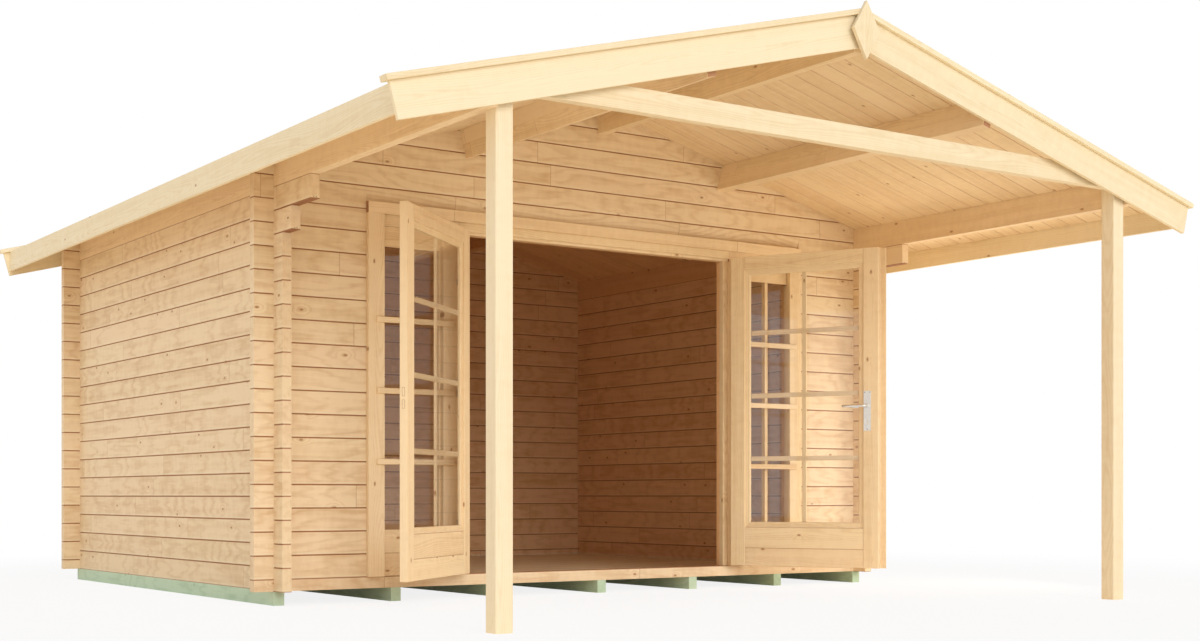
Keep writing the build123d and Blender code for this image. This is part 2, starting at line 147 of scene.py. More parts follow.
class CabinBoardSettings(bpy.types.PropertyGroup):
    roof_cover: size("Roof board cover", 0.1247, "Width that one roof board covers")
    floor_cover: size("Floor board cover", 0.096, "Width that one floor board covers")
    board_joint: size("Board joint", 0.0006, "Open joint between two boards")
    board_edge: size("Board edge", 0.0035, "Chamfer along the edges of roof and floor boards")
    timber_edge: size("Timber edge", 0.002, "Rounding on the edges of planed timber")
    post_edge: size("Post edge", 0.005, "Chamfer on the edges of the posts")
    lamella_edge: size("Lamella edge", 0.0012, "Chamfer where glued lamellas meet")
    lamella_length: size("Lamella length", 1.15, "Usual length of a finger-jointed lamella")
    header_joint: size("Header joint", 0.99, "From the middle to each joint in the header casing")


class CabinDoorSettings(bpy.types.PropertyGroup):
    stile: size("Stile width", 0.092, "Width of the upright members of a leaf")
    top_rail: size("Top rail", 0.080, "Height of the top rail of a leaf")
    panel: size("Bottom panel", 0.232, "Height of the boarded foot of a leaf")
    panel_split: size("Panel joint", 0.108, "Height of the joint between the two panel boards")
    bead: size("Bead width", 0.033, "Width of the moulding round the glass")
    bead_setback: size("Bead setback", 0.008, "How far the moulding lies behind the leaf's face")
    bead_flat: share("Bead flat", 0.35, "Share of the moulding's width that is flat")
    bead_quirk: size("Bead quirk", 0.0015, "Step from the moulding's flat to its rounding")
    bead_round: size("Bead rounding", 0.007, "Radius of the moulding's quarter round")
    bead_body: size("Bead body", 0.0095, "How far the moulding reaches in behind its flat")
    member_edge: size("Member edge", 0.0022, "Chamfer on the members of leaves and side lights")
    upright_bar: size("Upright bar width", 0.026, "Width of the upright glazing bar")
    cross_bar: size("Cross bar height", 0.028, "Height of the horizontal glazing bars")
    bar_depth: size("Bar depth", 0.012, "How far a glazing bar stands out from the glass")
    bar_step: size("Bar step", 0.0015, "How far a cross bar stands out from the upright one")
    first_bar: size("First bar", 0.3785, "From the foot of the glass to the first cross bar")
    bar_pitch: size("Bar pitch", 0.3785, "From one cross bar to the next")
    glass: size("Glass thickness", 0.0048, "Thickness of the glass that the bars lie on")
    leaf_gap: size("Leaf gap", 0.005, "Gap between a shut leaf and the frame's rebate")
    stop: size("Stop width", 0.038, "Width of the stops beside the doorway")


class CabinSidelightSettings(bpy.types.PropertyGroup):
    edge: size("Edge width", 0.012, "Width of the side members beside the glass")
    foot: size("Boarded foot", 0.248, "Height of the boarded foot")
    foot_split: size("Foot joint", 0.122, "Height of the joint between the two foot boards")
    head: size("Head board", 0.110, "Height of the head board")
    upright_bar: size("Upright bar width", 0.024, "Width of the upright bar")
    cross_bar: size("Cross bar height", 0.030, "Height of the cross bars on the face")
    cross_bar_depth: size("Cross bar depth", 0.018, "Thickness of the cross bars on the face")
    outer_lap: size("Outer lap", 0.030, "How far a cross bar laps over the casing")
    inner_lap: size("Inner lap", 0.070, "How far a cross bar laps over the mullion")
    cross_bar_taper: size("Cross bar taper", 0.014, "Length of a cross bar's slanted ends")
    first_bar: size("First bar", 0.358, "From the foot of the glass to the first cross bar")
    bar_pitch: size("Bar pitch", 0.375, "From one cross bar to the next")


class CabinFittingSettings(bpy.types.PropertyGroup):
    lever_bend: size("Lever bend", 0.016, "Radius of the lever's bend, at the middle of the bar")
    lever_radius: size("Lever radius", 0.0076, "Radius of the lever's round bar")
    collar_radius: size("Collar radius", 0.0125, "Radius of the collar where the lever turns")
    collar_height: size("Collar height", 0.007, "How far the collar stands out")
    screw_radius: size("Screw radius", 0.0035, "Radius of a screw head on the handle plates")
    screw_side: size("Screw to side", 0.0145, "From the plate's middle to its upper screws")
    screw_end: size("Screw to end", 0.0085, "From the plate's ends to its screws")
    pocket_relief: size("Pocket relief", 0.0004, "How far the outline of a pocket stands out")
    pocket_side: size("Pocket to side", 0.003, "From the sides of the leaf's edge to a pocket")
    # The pocket's outline is painted shade
    pocket_shade_rim: size("Pocket outline", 0.0022, "Width of the dark outline of a pocket")
    pocket_height: share("Pocket height", 0.32, "Height of a pocket, as a share of the lock plate")
    lower_pocket: share("Lower pocket", 0.12, "Foot of the lower pocket, as a share of the plate")
    upper_pocket: share("Upper pocket", 0.56, "Foot of the upper pocket, as a share of the plate")


class CabinFinishSettings(bpy.types.PropertyGroup):
    log_light: colour("Log, early wood", (238, 217, 185), "Pale wood of the logs")
    log_dark: colour("Log, late wood", (204, 168, 122), "Darker grain lines of the logs")
    planed_light: colour("Planed, early wood", (242, 220, 184), "Pale wood of planed timber")
    planed_dark: colour("Planed, late wood", (213, 179, 132), "Darker grain lines of planed timber")
    cream_light: colour("Trim, early wood", (240, 227, 198), "Pale wood of posts and verge boards")
    cream_dark: colour("Trim, late wood", (221, 198, 156), "Grain lines of posts and verge boards")
    knot: colour("Knots", (158, 104, 60), "Heart of the knots")
    # Painted shade, laid into seams between logs, joints between boards and outlines of the lock
    # pockets
    seam: colour("Seams", (150, 86, 44), "Shaded seam between two logs or boards")
    # Painted shade: the tint laid on wood inside the room, for its dimmer, warmer light
    room_shade: colour("Room", (255, 232, 212), "Tint of the wood inside the room")
    treated_light: colour("Treated, early wood", (200, 224, 200), "Pale part of the treated beams")
    treated_dark: colour("Treated, late wood", (160, 192, 160), "Grain of the treated beams")
    glass: colour("Glass", (252, 252, 252), "Tint of the window glass")
    steel: colour("Satin steel", (176, 176, 178), "Hinges and screws")
    aluminium: colour("Satin aluminium", (243, 241, 236), "Lever and handle plates")


class CabinStageSettings(bpy.types.PropertyGroup):
    lens: amount("Lens", 49.48, "Focal length on a 36 mm sensor", unit="CAMERA")
    shift: amount("Shift", 0.1457, "Upward shift of the picture")
    camera_place: spot("Camera", (-5.4139, -8.4446, 0.5622), "Place of the camera")
    camera_turn: bearing("Camera turn", 34.566, "Turn to the right of straight ahead")
    key_strength: amount("Key light", 1.0, "Strength of the wide key light")
    key_height: bearing("Key height", 24.0, "Angle of the key light above the horizon")
    key_turn: bearing("Key turn", 6.0, "Angle of the key light left of straight in front")
    key_spread: bearing("Key spread", 34.0, "Angle that the key light fills")
    fill: amount("Fill", 1.05, "Strength of the even light near the horizon")
    fill_above: share("Fill from above", 0.45, "Share of the even light that is left overhead")
    floor_light: amount("Floor light", 0.36, "Warm light that the floor in front throws up")
    side_power: amount("Side light", 14.0, "Power of the low warm light", unit="POWER")
    side_place: spot("Side light place", (3.1, -1.55, 0.95), "Place of the low warm light")
    side_size: size("Side light size", 0.7, "Width of the low warm light")
    shadow: share("Floor shadow", 0.15, "How much of the cabin's shadow the floor shows")
    floor_reach: size("Floor reach", 60.0, "Half the width of the studio floor")


# How far a piece of wood is moved through the solid grain, along, across and through it
JOINERY_STEP = np.array((40.0, 0.07, 0.05))
TIMBER_STEP = np.array((40.0, 0.06, 0.05))
# A chamfer takes at most this share of a half length
LARGEST_CUT = 0.45
# Points closer than this are merged, faces flatter than this are joined, and edges sharper than
# these are rounded in timber and kept sharp in metal
SAME_POINT = 2e-5
SAME_PLANE = math.radians(0.5)
TIMBER_CORNER = math.radians(30.0)
METAL_CORNER = math.radians(35.0)
# Cross bars have larger chamfers than the other members, by this factor
BAR_ROUNDING = 1.6
# Level length of the small step in a glazing bead
QUIRK_RUN = 0.001
# Cuts between lamellas are shifted by up to this share of their length
CUT_SPREAD = 0.3


# Meshes
def places(mesh):
    """The mesh's points, one row of three each."""
    co = np.empty(len(mesh.vertices) * 3)
    mesh.vertices.foreach_get("co", co)
    return co.reshape(-1, 3)


def spin(angle):
    """Turn about an upright axis: x' = c x - s y and y' = s x + c y."""
    c, s = math.cos(angle), math.sin(angle)
    return np.array([[c, -s, 0.0], [s, c, 0.0], [0.0, 0.0, 1.0]])


def closed_outwards(points, faces):
    """Faces of a convex solid, each ordered so that its normal points away from the middle."""
    middle = points.mean(axis=0)
    result = []
    for face in faces:
        p = points[face]
        normal = np.cross(p, np.roll(p, -1, axis=0)).sum(axis=0)
        result.append(face if normal @ (p.mean(axis=0) - middle) > 0 else face[::-1])
    return result


def turned_outwards(points, faces):
    """Faces of a closed solid that all run the same way round, turned if its volume comes out
    negative: the sum over fans of triangles of a . (b x c), from the middle."""
    p = points - points.mean(axis=0)
    volume = 0.0
    for face in faces:
        first, rest = p[face[0]], p[face[1:]]
        volume += (np.cross(rest[:-1], rest[1:]) @ first).sum()
    return faces if volume > 0 else [face[::-1] for face in faces]


def box_shape(inset):
    """Unit box with cut edges: sign times (1 - inset) along the two axes in a face's plane."""
    signs = np.array(list(itertools.product((-1.0, 1.0), repeat=3)))
    keep = 1.0 - np.asarray(inset)[None, None, :] * (1.0 - np.eye(3))[None]
    return (signs[:, None, :] * keep).reshape(-1, 3)


def chamfered_box_faces():
    """Faces of a box whose corner c keeps three points, 3c to 3c + 2, point k lying on the face
    that looks along axis k: six faces, twelve strips along the edges and eight corners. A corner's
    number is the sum of 4, 2 and 1 for its high side in x, y and z."""
    faces = []
    for axis, weight in enumerate((12, 6, 3)):
        (a, step_a), (b, step_b) = [pair for pair in enumerate((12, 6, 3)) if pair[0] != axis]
        for side in (axis, axis + weight):
            faces.append([side, side + step_a, side + step_a + step_b, side + step_b])
        for low in (0, step_b, step_a, step_a + step_b):
            faces.append([low + a, low + weight + a, low + weight + b, low + b])
    faces.extend([3 * c, 3 * c + 1, 3 * c + 2] for c in range(8))
    return closed_outwards(box_shape((0.1, 0.1, 0.1)), faces)


BOX_FACES = chamfered_box_faces()


def mesh_object(name, points, faces, finish):
    """An object at the origin with one mesh and one material."""
    mesh = bpy.data.meshes.new(name)
    mesh.from_pydata(points.tolist(), [], faces)
    mesh.update()
    made = bpy.data.objects.new(name, mesh)
    mesh.materials.append(material(finish))
    bpy.context.scene.collection.objects.link(made)
    return made


def wood_attributes(made, grain, **shades):
    """Writes where each point lies in its piece of wood, and values such as that piece's tone."""
    place = made.data.attributes.new("grain", "FLOAT_VECTOR", "POINT")
    place.data.foreach_set("vector", grain.astype(np.float32).ravel())
    for name, values in shades.items():
        shade = made.data.attributes.new(name, "FLOAT", "POINT")
        shade.data.foreach_set("value", values.astype(np.float32))


def fit(made, body, slot, *nodes):
    """Puts a finished piece on its body and hides the nodes that it stands for; the slot is not used.
    """
    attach(made, body)
    if nodes:
        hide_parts(*nodes)


class Joinery:
    """Solids gathered for one mesh. Every point keeps its place in its own piece of wood, along,
    across and through the grain, moved by a random step so that no two pieces look alike."""

    def __init__(self, seed):
        self.random = np.random.default_rng(seed)
        self.points, self.faces, self.grain = [], [], []
        self.tone, self.joint = [], []
        self.total = 0

    def solid(self, points, faces, along, across, joint=0.0):
        """Adds one closed solid whose grain runs along the first direction."""
        middle = points.mean(axis=0)
        through = np.cross(along, across)
        place = (points - middle) @ np.array([along, across, through]).T
        step = self.random.uniform(-JOINERY_STEP, JOINERY_STEP)
        self.points.append(points)
        self.grain.append(place + step)
        self.tone.append(np.full(len(points), self.random.uniform()))
        self.joint.append(np.broadcast_to(joint, len(points)))
        self.faces.extend([i + self.total for i in face] for face in faces)
        self.total += len(points)

    def board(self, centre, halves, edge, hidden=()):
        """A cut-edged board: centre plus or minus three half lengths, the first with the grain.
        The faces across a hidden half length lie in a joint and get painted shade, the seam colour
        that the material lays where shade falls between boards."""
        halves = np.array(halves, float)
        inset = np.minimum(edge / np.linalg.norm(halves, axis=1), LARGEST_CUT)
        points = np.array(centre, float) + box_shape(inset) @ halves
        turned = np.linalg.det(halves) < 0
        faces = [face[::-1] for face in BOX_FACES] if turned else BOX_FACES
        along = halves[0] / np.linalg.norm(halves[0])
        across = halves[1] - (halves[1] @ along) * along
        # Points on hidden faces get 1, which the material turns into painted shade
        joint = np.isin(np.arange(len(points)) % 3, hidden).astype(float)
        self.solid(points, faces, along, across / np.linalg.norm(across), joint)

    def block(self, low, high, edge, grain_axis, hidden=()):
        """A cut-edged board between two corners: its grain runs along axis 0, 1 or 2, and the
        wider of its other two sides is taken as the board's face."""
        low, high = np.array(low, float), np.array(high, float)
        half = np.diag((high - low) / 2)
        others = [axis for axis in range(3) if axis != grain_axis]
        order = [grain_axis, *sorted(others, key=lambda axis: -half[axis, axis])]
        shaded = [order.index(axis) for axis in hidden]
        self.board((low + high) / 2, half[order], edge, shaded)

    def slanted(self, low, high, taper, edge):
        """A bar on a face that looks to -Y: its front is smaller by the taper at each end and by
        the edge above and below."""
        corner = np.array(
            [(low[0], low[2]), (high[0], low[2]), (high[0], high[2]), (low[0], high[2])]
        )
        inwards = np.array([(1.0, 1.0), (-1.0, 1.0), (-1.0, -1.0), (1.0, -1.0)])
        rings = np.array([(high[1], 0.0, 0.0), (low[1] + edge, 0.0, 0.0), (low[1], taper, edge)])
        x, z = np.moveaxis(corner + inwards * rings[:, None, 1:], -1, 0)
        points = np.stack([x, np.broadcast_to(rings[:, :1], x.shape), z], axis=-1).reshape(-1, 3)
        i = np.arange(8)
        j = i - i % 4 + (i + 1) % 4
        faces = [[0, 1, 2, 3], [8, 9, 10, 11], *np.stack([i, j, j + 4, i + 4], axis=1).tolist()]
        self.solid(points, closed_outwards(points, faces), X_AXIS, Z_AXIS)

    def mitred_frame(self, low, high, profile):
        """A moulding round an upright rectangle: the profile, pairs of inset and depth, is carried
        along each side and cut at 45 degrees, where inset moves the corner inwards both ways."""
        inset, depth = np.array(profile, float).T
        count = len(profile)
        corner = [
            np.stack([x + sx * inset, depth, z + sz * inset], axis=1)
            for x, sx, z, sz in (
                (low[0], 1, low[1], 1),
                (high[0], -1, low[1], 1),
                (high[0], -1, high[1], -1),
                (low[0], 1, high[1], -1),
            )
        ]
        ring = np.arange(count)
        after = (ring + 1) % count
        sides = np.stack([ring, after, after + count, ring + count], axis=1).tolist()
        caps = [list(range(count))[::-1], list(range(count, 2 * count))]
        for i in range(4):
            points = np.concatenate([corner[i], corner[(i + 1) % 4]])
            along, across = (X_AXIS, Z_AXIS) if i % 2 == 0 else (Z_AXIS, X_AXIS)
            self.solid(points, turned_outwards(points, sides + caps), along, across)

    def turn(self, angle, centre):
        """Turns all points about an upright axis through the centre."""
        self.points = [(p - centre) @ spin(angle).T + centre for p in self.points]

    def build(self, name, finish, body, node):
        """One piece in place of a node, with the wood's place, tone and joints, for painted shade, on
        its points.
        """
        made = mesh_object(name, np.concatenate(self.points), self.faces, finish)
        shades = {"tone": np.concatenate(self.tone), "joint": np.concatenate(self.joint)}
        wood_attributes(made, np.concatenate(self.grain), **shades)
        fit(made, body, "spruce", node)


def planed_copy(node, along, across, edge, seed, finish, paired=False):
    """The node's own solid with its corners merged and its edges rounded, as planed timber. A
    paired node has a left half and its mirror image, with the grain mirrored too."""
    source = frame["nodes"][node]
    shell = bmesh.new()
    shell.from_mesh(source.data)
    bmesh.ops.remove_doubles(shell, verts=shell.verts, dist=SAME_POINT)
    bmesh.ops.dissolve_limit(shell, angle_limit=SAME_PLANE, verts=shell.verts, edges=shell.edges)
    mesh = bpy.data.meshes.new(node + "_timber")
    shell.to_mesh(mesh)
    shell.free()
    made = bpy.data.objects.new(node + "_timber", mesh)
    bpy.context.scene.collection.objects.link(made)
    mesh.materials.clear()
    mesh.materials.append(material(finish))
    co = places(mesh)
    random = np.random.default_rng(seed)
    steps = random.uniform(-TIMBER_STEP, TIMBER_STEP, (2, 3))
    tones = random.uniform(size=2)
    half = (co[:, 0] > 0).astype(int) * paired
    flipped = co * np.where(half[:, None] == 1, (-1.0, 1.0, 1.0), (1.0, 1.0, 1.0))
    basis = np.array([along, across, np.cross(along, across)])
    grain = (flipped - flipped.mean(axis=0)) @ basis.T + steps[half]
    wood_attributes(made, grain, tone=tones[half])
    bevel = made.modifiers.new("Rounded edges", "BEVEL")
    bevel.width = edge
    bevel.segments = 2
    bevel.limit_method = "ANGLE"
    bevel.angle_limit = TIMBER_CORNER
    fit(made, source["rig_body"], "spruce", node)


class Fittings:
    """Turned and bent metal gathered for one mesh."""

    def __init__(self):
        self.points, self.faces = [], []
        self.total = 0

    def rings(self, rings):
        """A closed skin over rings of equal count: quads between them and a fan on both ends."""
        points = np.concatenate(rings)
        count = len(rings[0])
        i = np.arange(count)
        j = (i + 1) % count
        k = self.total + np.arange(len(rings) - 1)[:, None] * count
        quads = np.stack([k + i, k + j, k + count + j, k + count + i], axis=-1)
        self.faces.extend(quads.reshape(-1, 4).tolist())
        self.faces.append((self.total + i[::-1]).tolist())
        self.faces.append((self.total + len(points) - count + i).tolist())
        self.points.append(points)
        self.total += len(points)

    def turned(self, start, direction, profile, count=24):
        """A turned shape: ring k has radius r and lies h along the direction from the start,
        p = start + h d + r (cos t u + sin t w), with d, u and w square to each other."""
        u = np.cross(direction, Z_AXIS) if abs(direction[2]) < 0.9 else X_AXIS
        w = np.cross(direction, u)
        t = np.linspace(0.0, 2 * math.pi, count, endpoint=False)[:, None]
        circle = np.cos(t) * u + np.sin(t) * w
        self.rings([start + h * direction + r * circle for r, h in profile])

    def bent_bar(self, path, radius, count=20):
        """A round bar along a level path: ring k lies at p, square to the path's direction d,
        p + r (cos t s + sin t z), where s is level and z points up. Both ends are domed."""
        d = np.gradient(path, axis=0)
        d /= np.linalg.norm(d, axis=1)[:, None]
        s = np.cross(Z_AXIS, d)
        t = np.linspace(0.0, 2 * math.pi, count, endpoint=False)[:, None]

        def circle(middle, level, part=1.0):
            """One ring, at a part of the full radius."""
            return middle + part * radius * (np.cos(t) * level + np.sin(t) * Z_AXIS)

        parts = np.linspace(0.15, 1.0, 5)
        first, last = (
            [circle(path[k] + out * radius * math.sqrt(1 - q * q) * d[k], s[k], q) for q in row]
            for k, out, row in ((0, -0.5, parts), (-1, 0.5, parts[::-1]))
        )
        middle = [circle(p, level) for p, level in zip(path[1:-1], s[1:-1])]
        self.rings([*first, *middle, *last])

    def build(self, name, finish, body, slot, *nodes):
        """One piece of metal, smooth but for its sharp edges."""
        made = mesh_object(name, np.concatenate(self.points), self.faces, finish)
        made.data.shade_smooth()
        made.data.set_sharp_from_angle(angle=METAL_CORNER)
        fit(made, body, slot, *nodes)


# Shader trees
def feed(tree, socket, value):
    """Links the value to the socket if it is another node's output, and else sets it there."""
    if isinstance(value, bpy.types.NodeSocket):
        tree.links.new(value, socket)
    else:
        socket.default_value = value


def add(tree, kind, inputs=None, **settings):
    """Adds a node; each input is a plain value or the output that feeds it."""
    node = tree.nodes.new("ShaderNode" + kind)
    for key, value in settings.items():
        setattr(node, key, value)
    for key, value in (inputs or {}).items():
        feed(tree, node.inputs[key], value)
    return node


def sums(tree, operation, *values):
    """The result of one Math node."""
    return add(tree, "Math", dict(enumerate(values)), operation=operation).outputs[0]


def plus(tree, a, b):
    """a plus b."""
    return sums(tree, "ADD", a, b)


def minus(tree, a, b):
    """a minus b."""
    return sums(tree, "SUBTRACT", a, b)


def times(tree, a, b):
    """a times b."""
    return sums(tree, "MULTIPLY", a, b)


def scaled(tree, a, b, c):
    """a times b, plus c."""
    return sums(tree, "MULTIPLY_ADD", a, b, c)


def between(tree, value, low, high, to_low=0.0, to_high=1.0):
    """A smooth step of the value from low to high, laid on another range."""
    ends = {"From Min": low, "From Max": high, "To Min": to_low, "To Max": to_high}
    return add(
        tree, "MapRange", {"Value": value, **ends}, interpolation_type="SMOOTHSTEP"
    ).outputs[0]


def blend_colours(tree, factor, a, b, mode="MIX"):
    """Colour a where the factor is 0, and b, or a times b in multiply mode, where it is 1."""
    mix = {"Factor": factor, 6: a, 7: b}
    return add(tree, "Mix", mix, data_type="RGBA", blend_type=mode).outputs[2]


def split(tree, vector):
    """The three values of a vector or colour."""
    return add(tree, "SeparateXYZ", {0: vector}).outputs[:]


def join(tree, x, y, z):
    """A vector of three values."""
    return add(tree, "CombineXYZ", {0: x, 1: y, 2: z}).outputs[0]


def own_place(tree):
    """The object's own coordinates."""
    return add(tree, "TexCoord").outputs["Object"]


def noise(tree, vector, scale, detail=2.0, roughness=0.5):
    """Soft noise from 0 to 1."""
    given = {"Vector": vector, "Scale": scale, "Detail": detail, "Roughness": roughness}
    return add(tree, "TexNoise", given).outputs["Fac"]


def stretched(tree, u, v, w, along, across):
    """Noise drawn out along the grain: its scale is one value with the grain and one across."""
    place = [times(tree, value, scale) for value, scale in ((u, along), (v, across), (w, across))]
    return noise(tree, join(tree, *place), 1.0, 3.0)


def new_group(name, inputs, outputs):
    """A node group with named sockets, each of a kind such as Vector or, as a number, a Float with
    that default. Returns its tree, its given values and a function that puts out its results."""
    group = bpy.data.node_groups.new(name, "ShaderNodeTree")
    for sockets, in_out in ((inputs, "INPUT"), (outputs, "OUTPUT")):
        for label, kind in sockets.items():
            plain = isinstance(kind, float)
            socket_type = "NodeSocket" + ("Float" if plain else kind)
            socket = group.interface.new_socket(name=label, in_out=in_out, socket_type=socket_type)
            if plain:
                socket.default_value = kind
    given = group.nodes.new("NodeGroupInput").outputs
    result = group.nodes.new("NodeGroupOutput").inputs

    def put_out(values):
        """Links each value to the output of that name."""
        for label, value in values.items():
            group.links.new(value, result[label])

    return group, given, put_out


def placed(tree, group, inputs):
    """Adds the node group of that name."""
    return add(tree, "Group", inputs, node_tree=bpy.data.node_groups[group])


def spruce_group():
    """Spruce as a solid texture: growth rings round a wandering heart, knots that push the rings
    aside, long soft streaks and fine fibres. The grain vector runs along, across and through."""
    group, given, put_out = new_group(
        "Spruce grain",
        {
            "Grain": "Vector", "Tone": 0.5, "Early Wood": "Color", "Late Wood": "Color",
            "Knot": "Color", "Ring Spacing": 0.007, "Ring Strength": 0.30, "Knot Share": 0.17,
        },
        {"Color": "Color", "Height": "Float", "Roughness": "Float"},
    )
    # Knots: cells per metre along and across, of which a share holds one
    u, v, w = split(group, given["Grain"])
    cells = join(group, times(group, u, 4.2), times(group, v, 8.0), 0.0)
    knots = add(group, "TexVoronoi", {"Vector": cells, "Scale": 1.0}, voronoi_dimensions="2D")
    picked = split(group, knots.outputs["Color"])[0]
    has_knot = sums(group, "LESS_THAN", picked, given["Knot Share"])
    away = knots.outputs["Distance"]
    # How far a knot pushes the rings, its heart and its dark collar, in shares of a cell
    near = times(group, between(group, away, 0.30, 0.0), has_knot)
    heart = times(group, between(group, away, 0.060, 0.030), has_knot)
    collar = times(group, between(group, away, 0.11, 0.04), has_knot)

    # Rings: the heart wanders slowly along the grain, and the rings ripple a little
    wander = join(group, times(group, u, 0.9), 0.0, 0.0)
    drift_v = scaled(group, noise(group, wander, 1.0, 1.0), 0.16, -0.08)
    shift = {0: wander, 1: (7.3, 1.9, 4.1)}
    lifted = add(group, "VectorMath", shift, operation="ADD").outputs[0]
    drift_w = scaled(group, noise(group, lifted, 1.0, 1.0), 0.10, -0.05)
    ripple = scaled(group, stretched(group, u, v, w, 3.0, 22.0), 0.014, -0.007)
    across = plus(group, v, drift_v)
    through = plus(group, w, drift_w)
    square = scaled(group, across, across, times(group, through, through))
    radius = plus(group, sums(group, "SQRT", square), ripple)
    pushed = scaled(group, near, 0.014, radius)
    turns = sums(group, "DIVIDE", pushed, given["Ring Spacing"])
    wave = sums(group, "SINE", times(group, turns, 2 * math.pi))
    rings = sums(group, "POWER", scaled(group, wave, 0.5, 0.5), 2.2)
    # Streaks, fibres and mottle, with their scales along and across
    streak = stretched(group, u, v, w, 1.1, 30.0)
    fibre = stretched(group, u, v, w, 22.0, 900.0)
    mottle = stretched(group, u, v, w, 26.0, 14.0)

    # How dark the wood is, as the sum of all these with their weights
    dark = times(group, rings, given["Ring Strength"])
    dark = scaled(group, between(group, streak, 0.40, 0.70), 0.24, dark)
    for value, weight in ((given["Tone"], 0.36), (fibre, 0.30), (mottle, 0.5)):
        dark = scaled(group, minus(group, value, 0.5), weight, dark)
    dark = scaled(group, collar, 0.3, dark)
    limited = add(group, "Clamp", {0: dark}).outputs[0]
    wood = blend_colours(group, limited, given["Early Wood"], given["Late Wood"])
    # A faint pink or yellow cast from one piece of wood to the next
    hue = sums(group, "FRACT", times(group, given["Tone"], 7.31))
    tint = blend_colours(group, hue, (1.0, 0.975, 0.955, 1.0), (1.0, 1.0, 0.96, 1.0))
    tinted = blend_colours(group, 1.0, wood, tint, "MULTIPLY")
    knotted = blend_colours(group, times(group, heart, 0.7), tinted, given["Knot"])
    height = scaled(group, rings, 0.5, times(group, fibre, 0.35))
    rough = scaled(group, limited, -0.10, 0.66)
    put_out({"Color": knotted, "Height": height, "Roughness": rough})


def log_group():
    """Splits a wall into its logs: course by course from the height, and into finger-jointed
    lengths along each log, with its own step and tone for each, and marks seams and joints.
    The seams carry painted shade, and a band over each course's foot a painted highlight."""
    group, given, put_out = new_group(
        "Log courses",
        {"Place": "Vector", "Course Height": 0.121, "First Seam": 0.073, "Wall Number": 0.0},
        {"Grain": "Vector", "Tone": "Float", "Seam": "Float", "Finger Joint": "Float", "Lip Highlight": "Float"},
    )
    u, v, w = split(group, given["Place"])
    high = given["Course Height"]
    count = sums(group, "DIVIDE", minus(group, v, given["First Seam"]), high)
    course = sums(group, "FLOOR", count)
    part = minus(group, minus(group, count, course), 0.5)
    local = times(group, part, high)
    number = scaled(group, given["Wall Number"], 31.7, course)
    log = add(group, "TexWhiteNoise", {"W": number}, noise_dimensions="1D")
    log_r, log_g, log_b = split(group, log.outputs["Color"])

    # Finger-jointed lengths: 0.6 of them to the metre, elsewhere in each course
    lengths = scaled(group, u, 0.6, times(group, number, 17.31))
    piece, border = (
        add(group, "TexVoronoi", {"W": lengths, "Scale": 1.0}, voronoi_dimensions="1D", feature=kind)
        for kind in ("F1", "DISTANCE_TO_EDGE")
    )
    piece_r, piece_g, piece_b = split(group, piece.outputs["Color"])
    # Steps through the solid grain, so that no two lengths look alike
    step_u = times(group, plus(group, log_r, piece_r), 19.0)
    step_v = scaled(group, plus(group, log_g, piece_g), 0.08, -0.08)
    step_w = scaled(group, plus(group, log_b, piece_b), 0.06, -0.06)
    grain = join(
        group,
        plus(group, u, step_u),
        plus(group, local, step_v),
        plus(group, w, step_w),
    )
    tone = plus(group, times(group, log_g, 0.5), times(group, piece_b, 0.5))
    # Masks in metres from a seam, for painted shade, in shares of a length from a joint, and over a
    # course's foot, for a painted highlight on the log's lower edge
    from_seam = minus(group, times(group, high, 0.5), sums(group, "ABSOLUTE", local))
    # Painted shade inside the seam between two logs
    seam = between(group, from_seam, 0.0046, 0.0014)
    joint = between(group, border.outputs["Distance"], 0.0016, 0.0006)
    over = scaled(group, high, 0.5, local)
    lip_highlight = times(group, between(group, over, 0.016, 0.011), between(group, over, 0.004, 0.006))
    put_out({"Grain": grain, "Tone": tone, "Seam": seam, "Finger Joint": joint, "Lip Highlight": lip_highlight})


# Where the room's painted shade is gone and where it is full, in metres past the faces of its walls,
# over its floor and over the underside of its roof, in the order that between takes them
WALL_FADE = np.array((0.004, 0.001))
FLOOR_FADE = np.array((0.001, 0.02))
ROOF_FADE = np.array((0.012, 0.006))


def room_shade_group():
    """Paints shade into the wood inside the room, told by its place between the walls: a deeper,
    warmer colour for the dimmer, warmer light indoors.
    """
    group, given, put_out = new_group(
        "Painted room shade", {"Place": "Vector", "Wood": "Color", "Tint": "Color"}, {"Color": "Color"}
    )
    x, y, z = split(group, given["Place"])
    aside = sums(group, "ABSOLUTE", x)
    inside = between(group, aside, *(ROOM_HALF + WALL_FADE))
    behind = between(group, y, *(ROOM_FRONT - WALL_FADE))
    before = between(group, y, *(ROOM_BACK + WALL_FADE))
    over_floor = between(group, z, *(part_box("floor")[1].z + FLOOR_FADE))
    mask = times(group, times(group, inside, behind), before)
    slope = math.tan(ROOF_PITCH)
    ridge = ROOF_LOW.z + (ROOF_HIGH.x - ROOF_LOW.x) * slope
    above = minus(group, scaled(group, aside, slope, z), ridge)
    under_roof = between(group, above, *ROOF_FADE)
    mask = times(group, times(group, mask, over_floor), under_roof)
    indoor_shade = blend_colours(group, mask, WHITE, given["Tint"])
    put_out({"Color": blend_colours(group, 1.0, given["Wood"], indoor_shade, "MULTIPLY")})


MADE = {}


def material(name):
    """A material made before."""
    return MADE[name]


def new_material(name):
    """A material with an empty tree but for its output and Principled shader."""
    made = bpy.data.materials.new(name)
    made.use_nodes = True
    tree = made.node_tree
    tree.nodes.clear()
    tree.nodes.new("ShaderNodeOutputMaterial")
    shader = tree.nodes.new("ShaderNodeBsdfPrincipled")
    surface(tree, shader.outputs[0])
    MADE[name] = made
    return tree, shader


def surface(tree, shader):
    """Makes the shader the surface of the material or the world."""
    output = next(node for node in tree.nodes if "Output" in node.bl_idname)
    tree.links.new(shader, output.inputs["Surface"])


def rgba(value):
    """A colour with full alpha."""
    return (*value, 1.0)


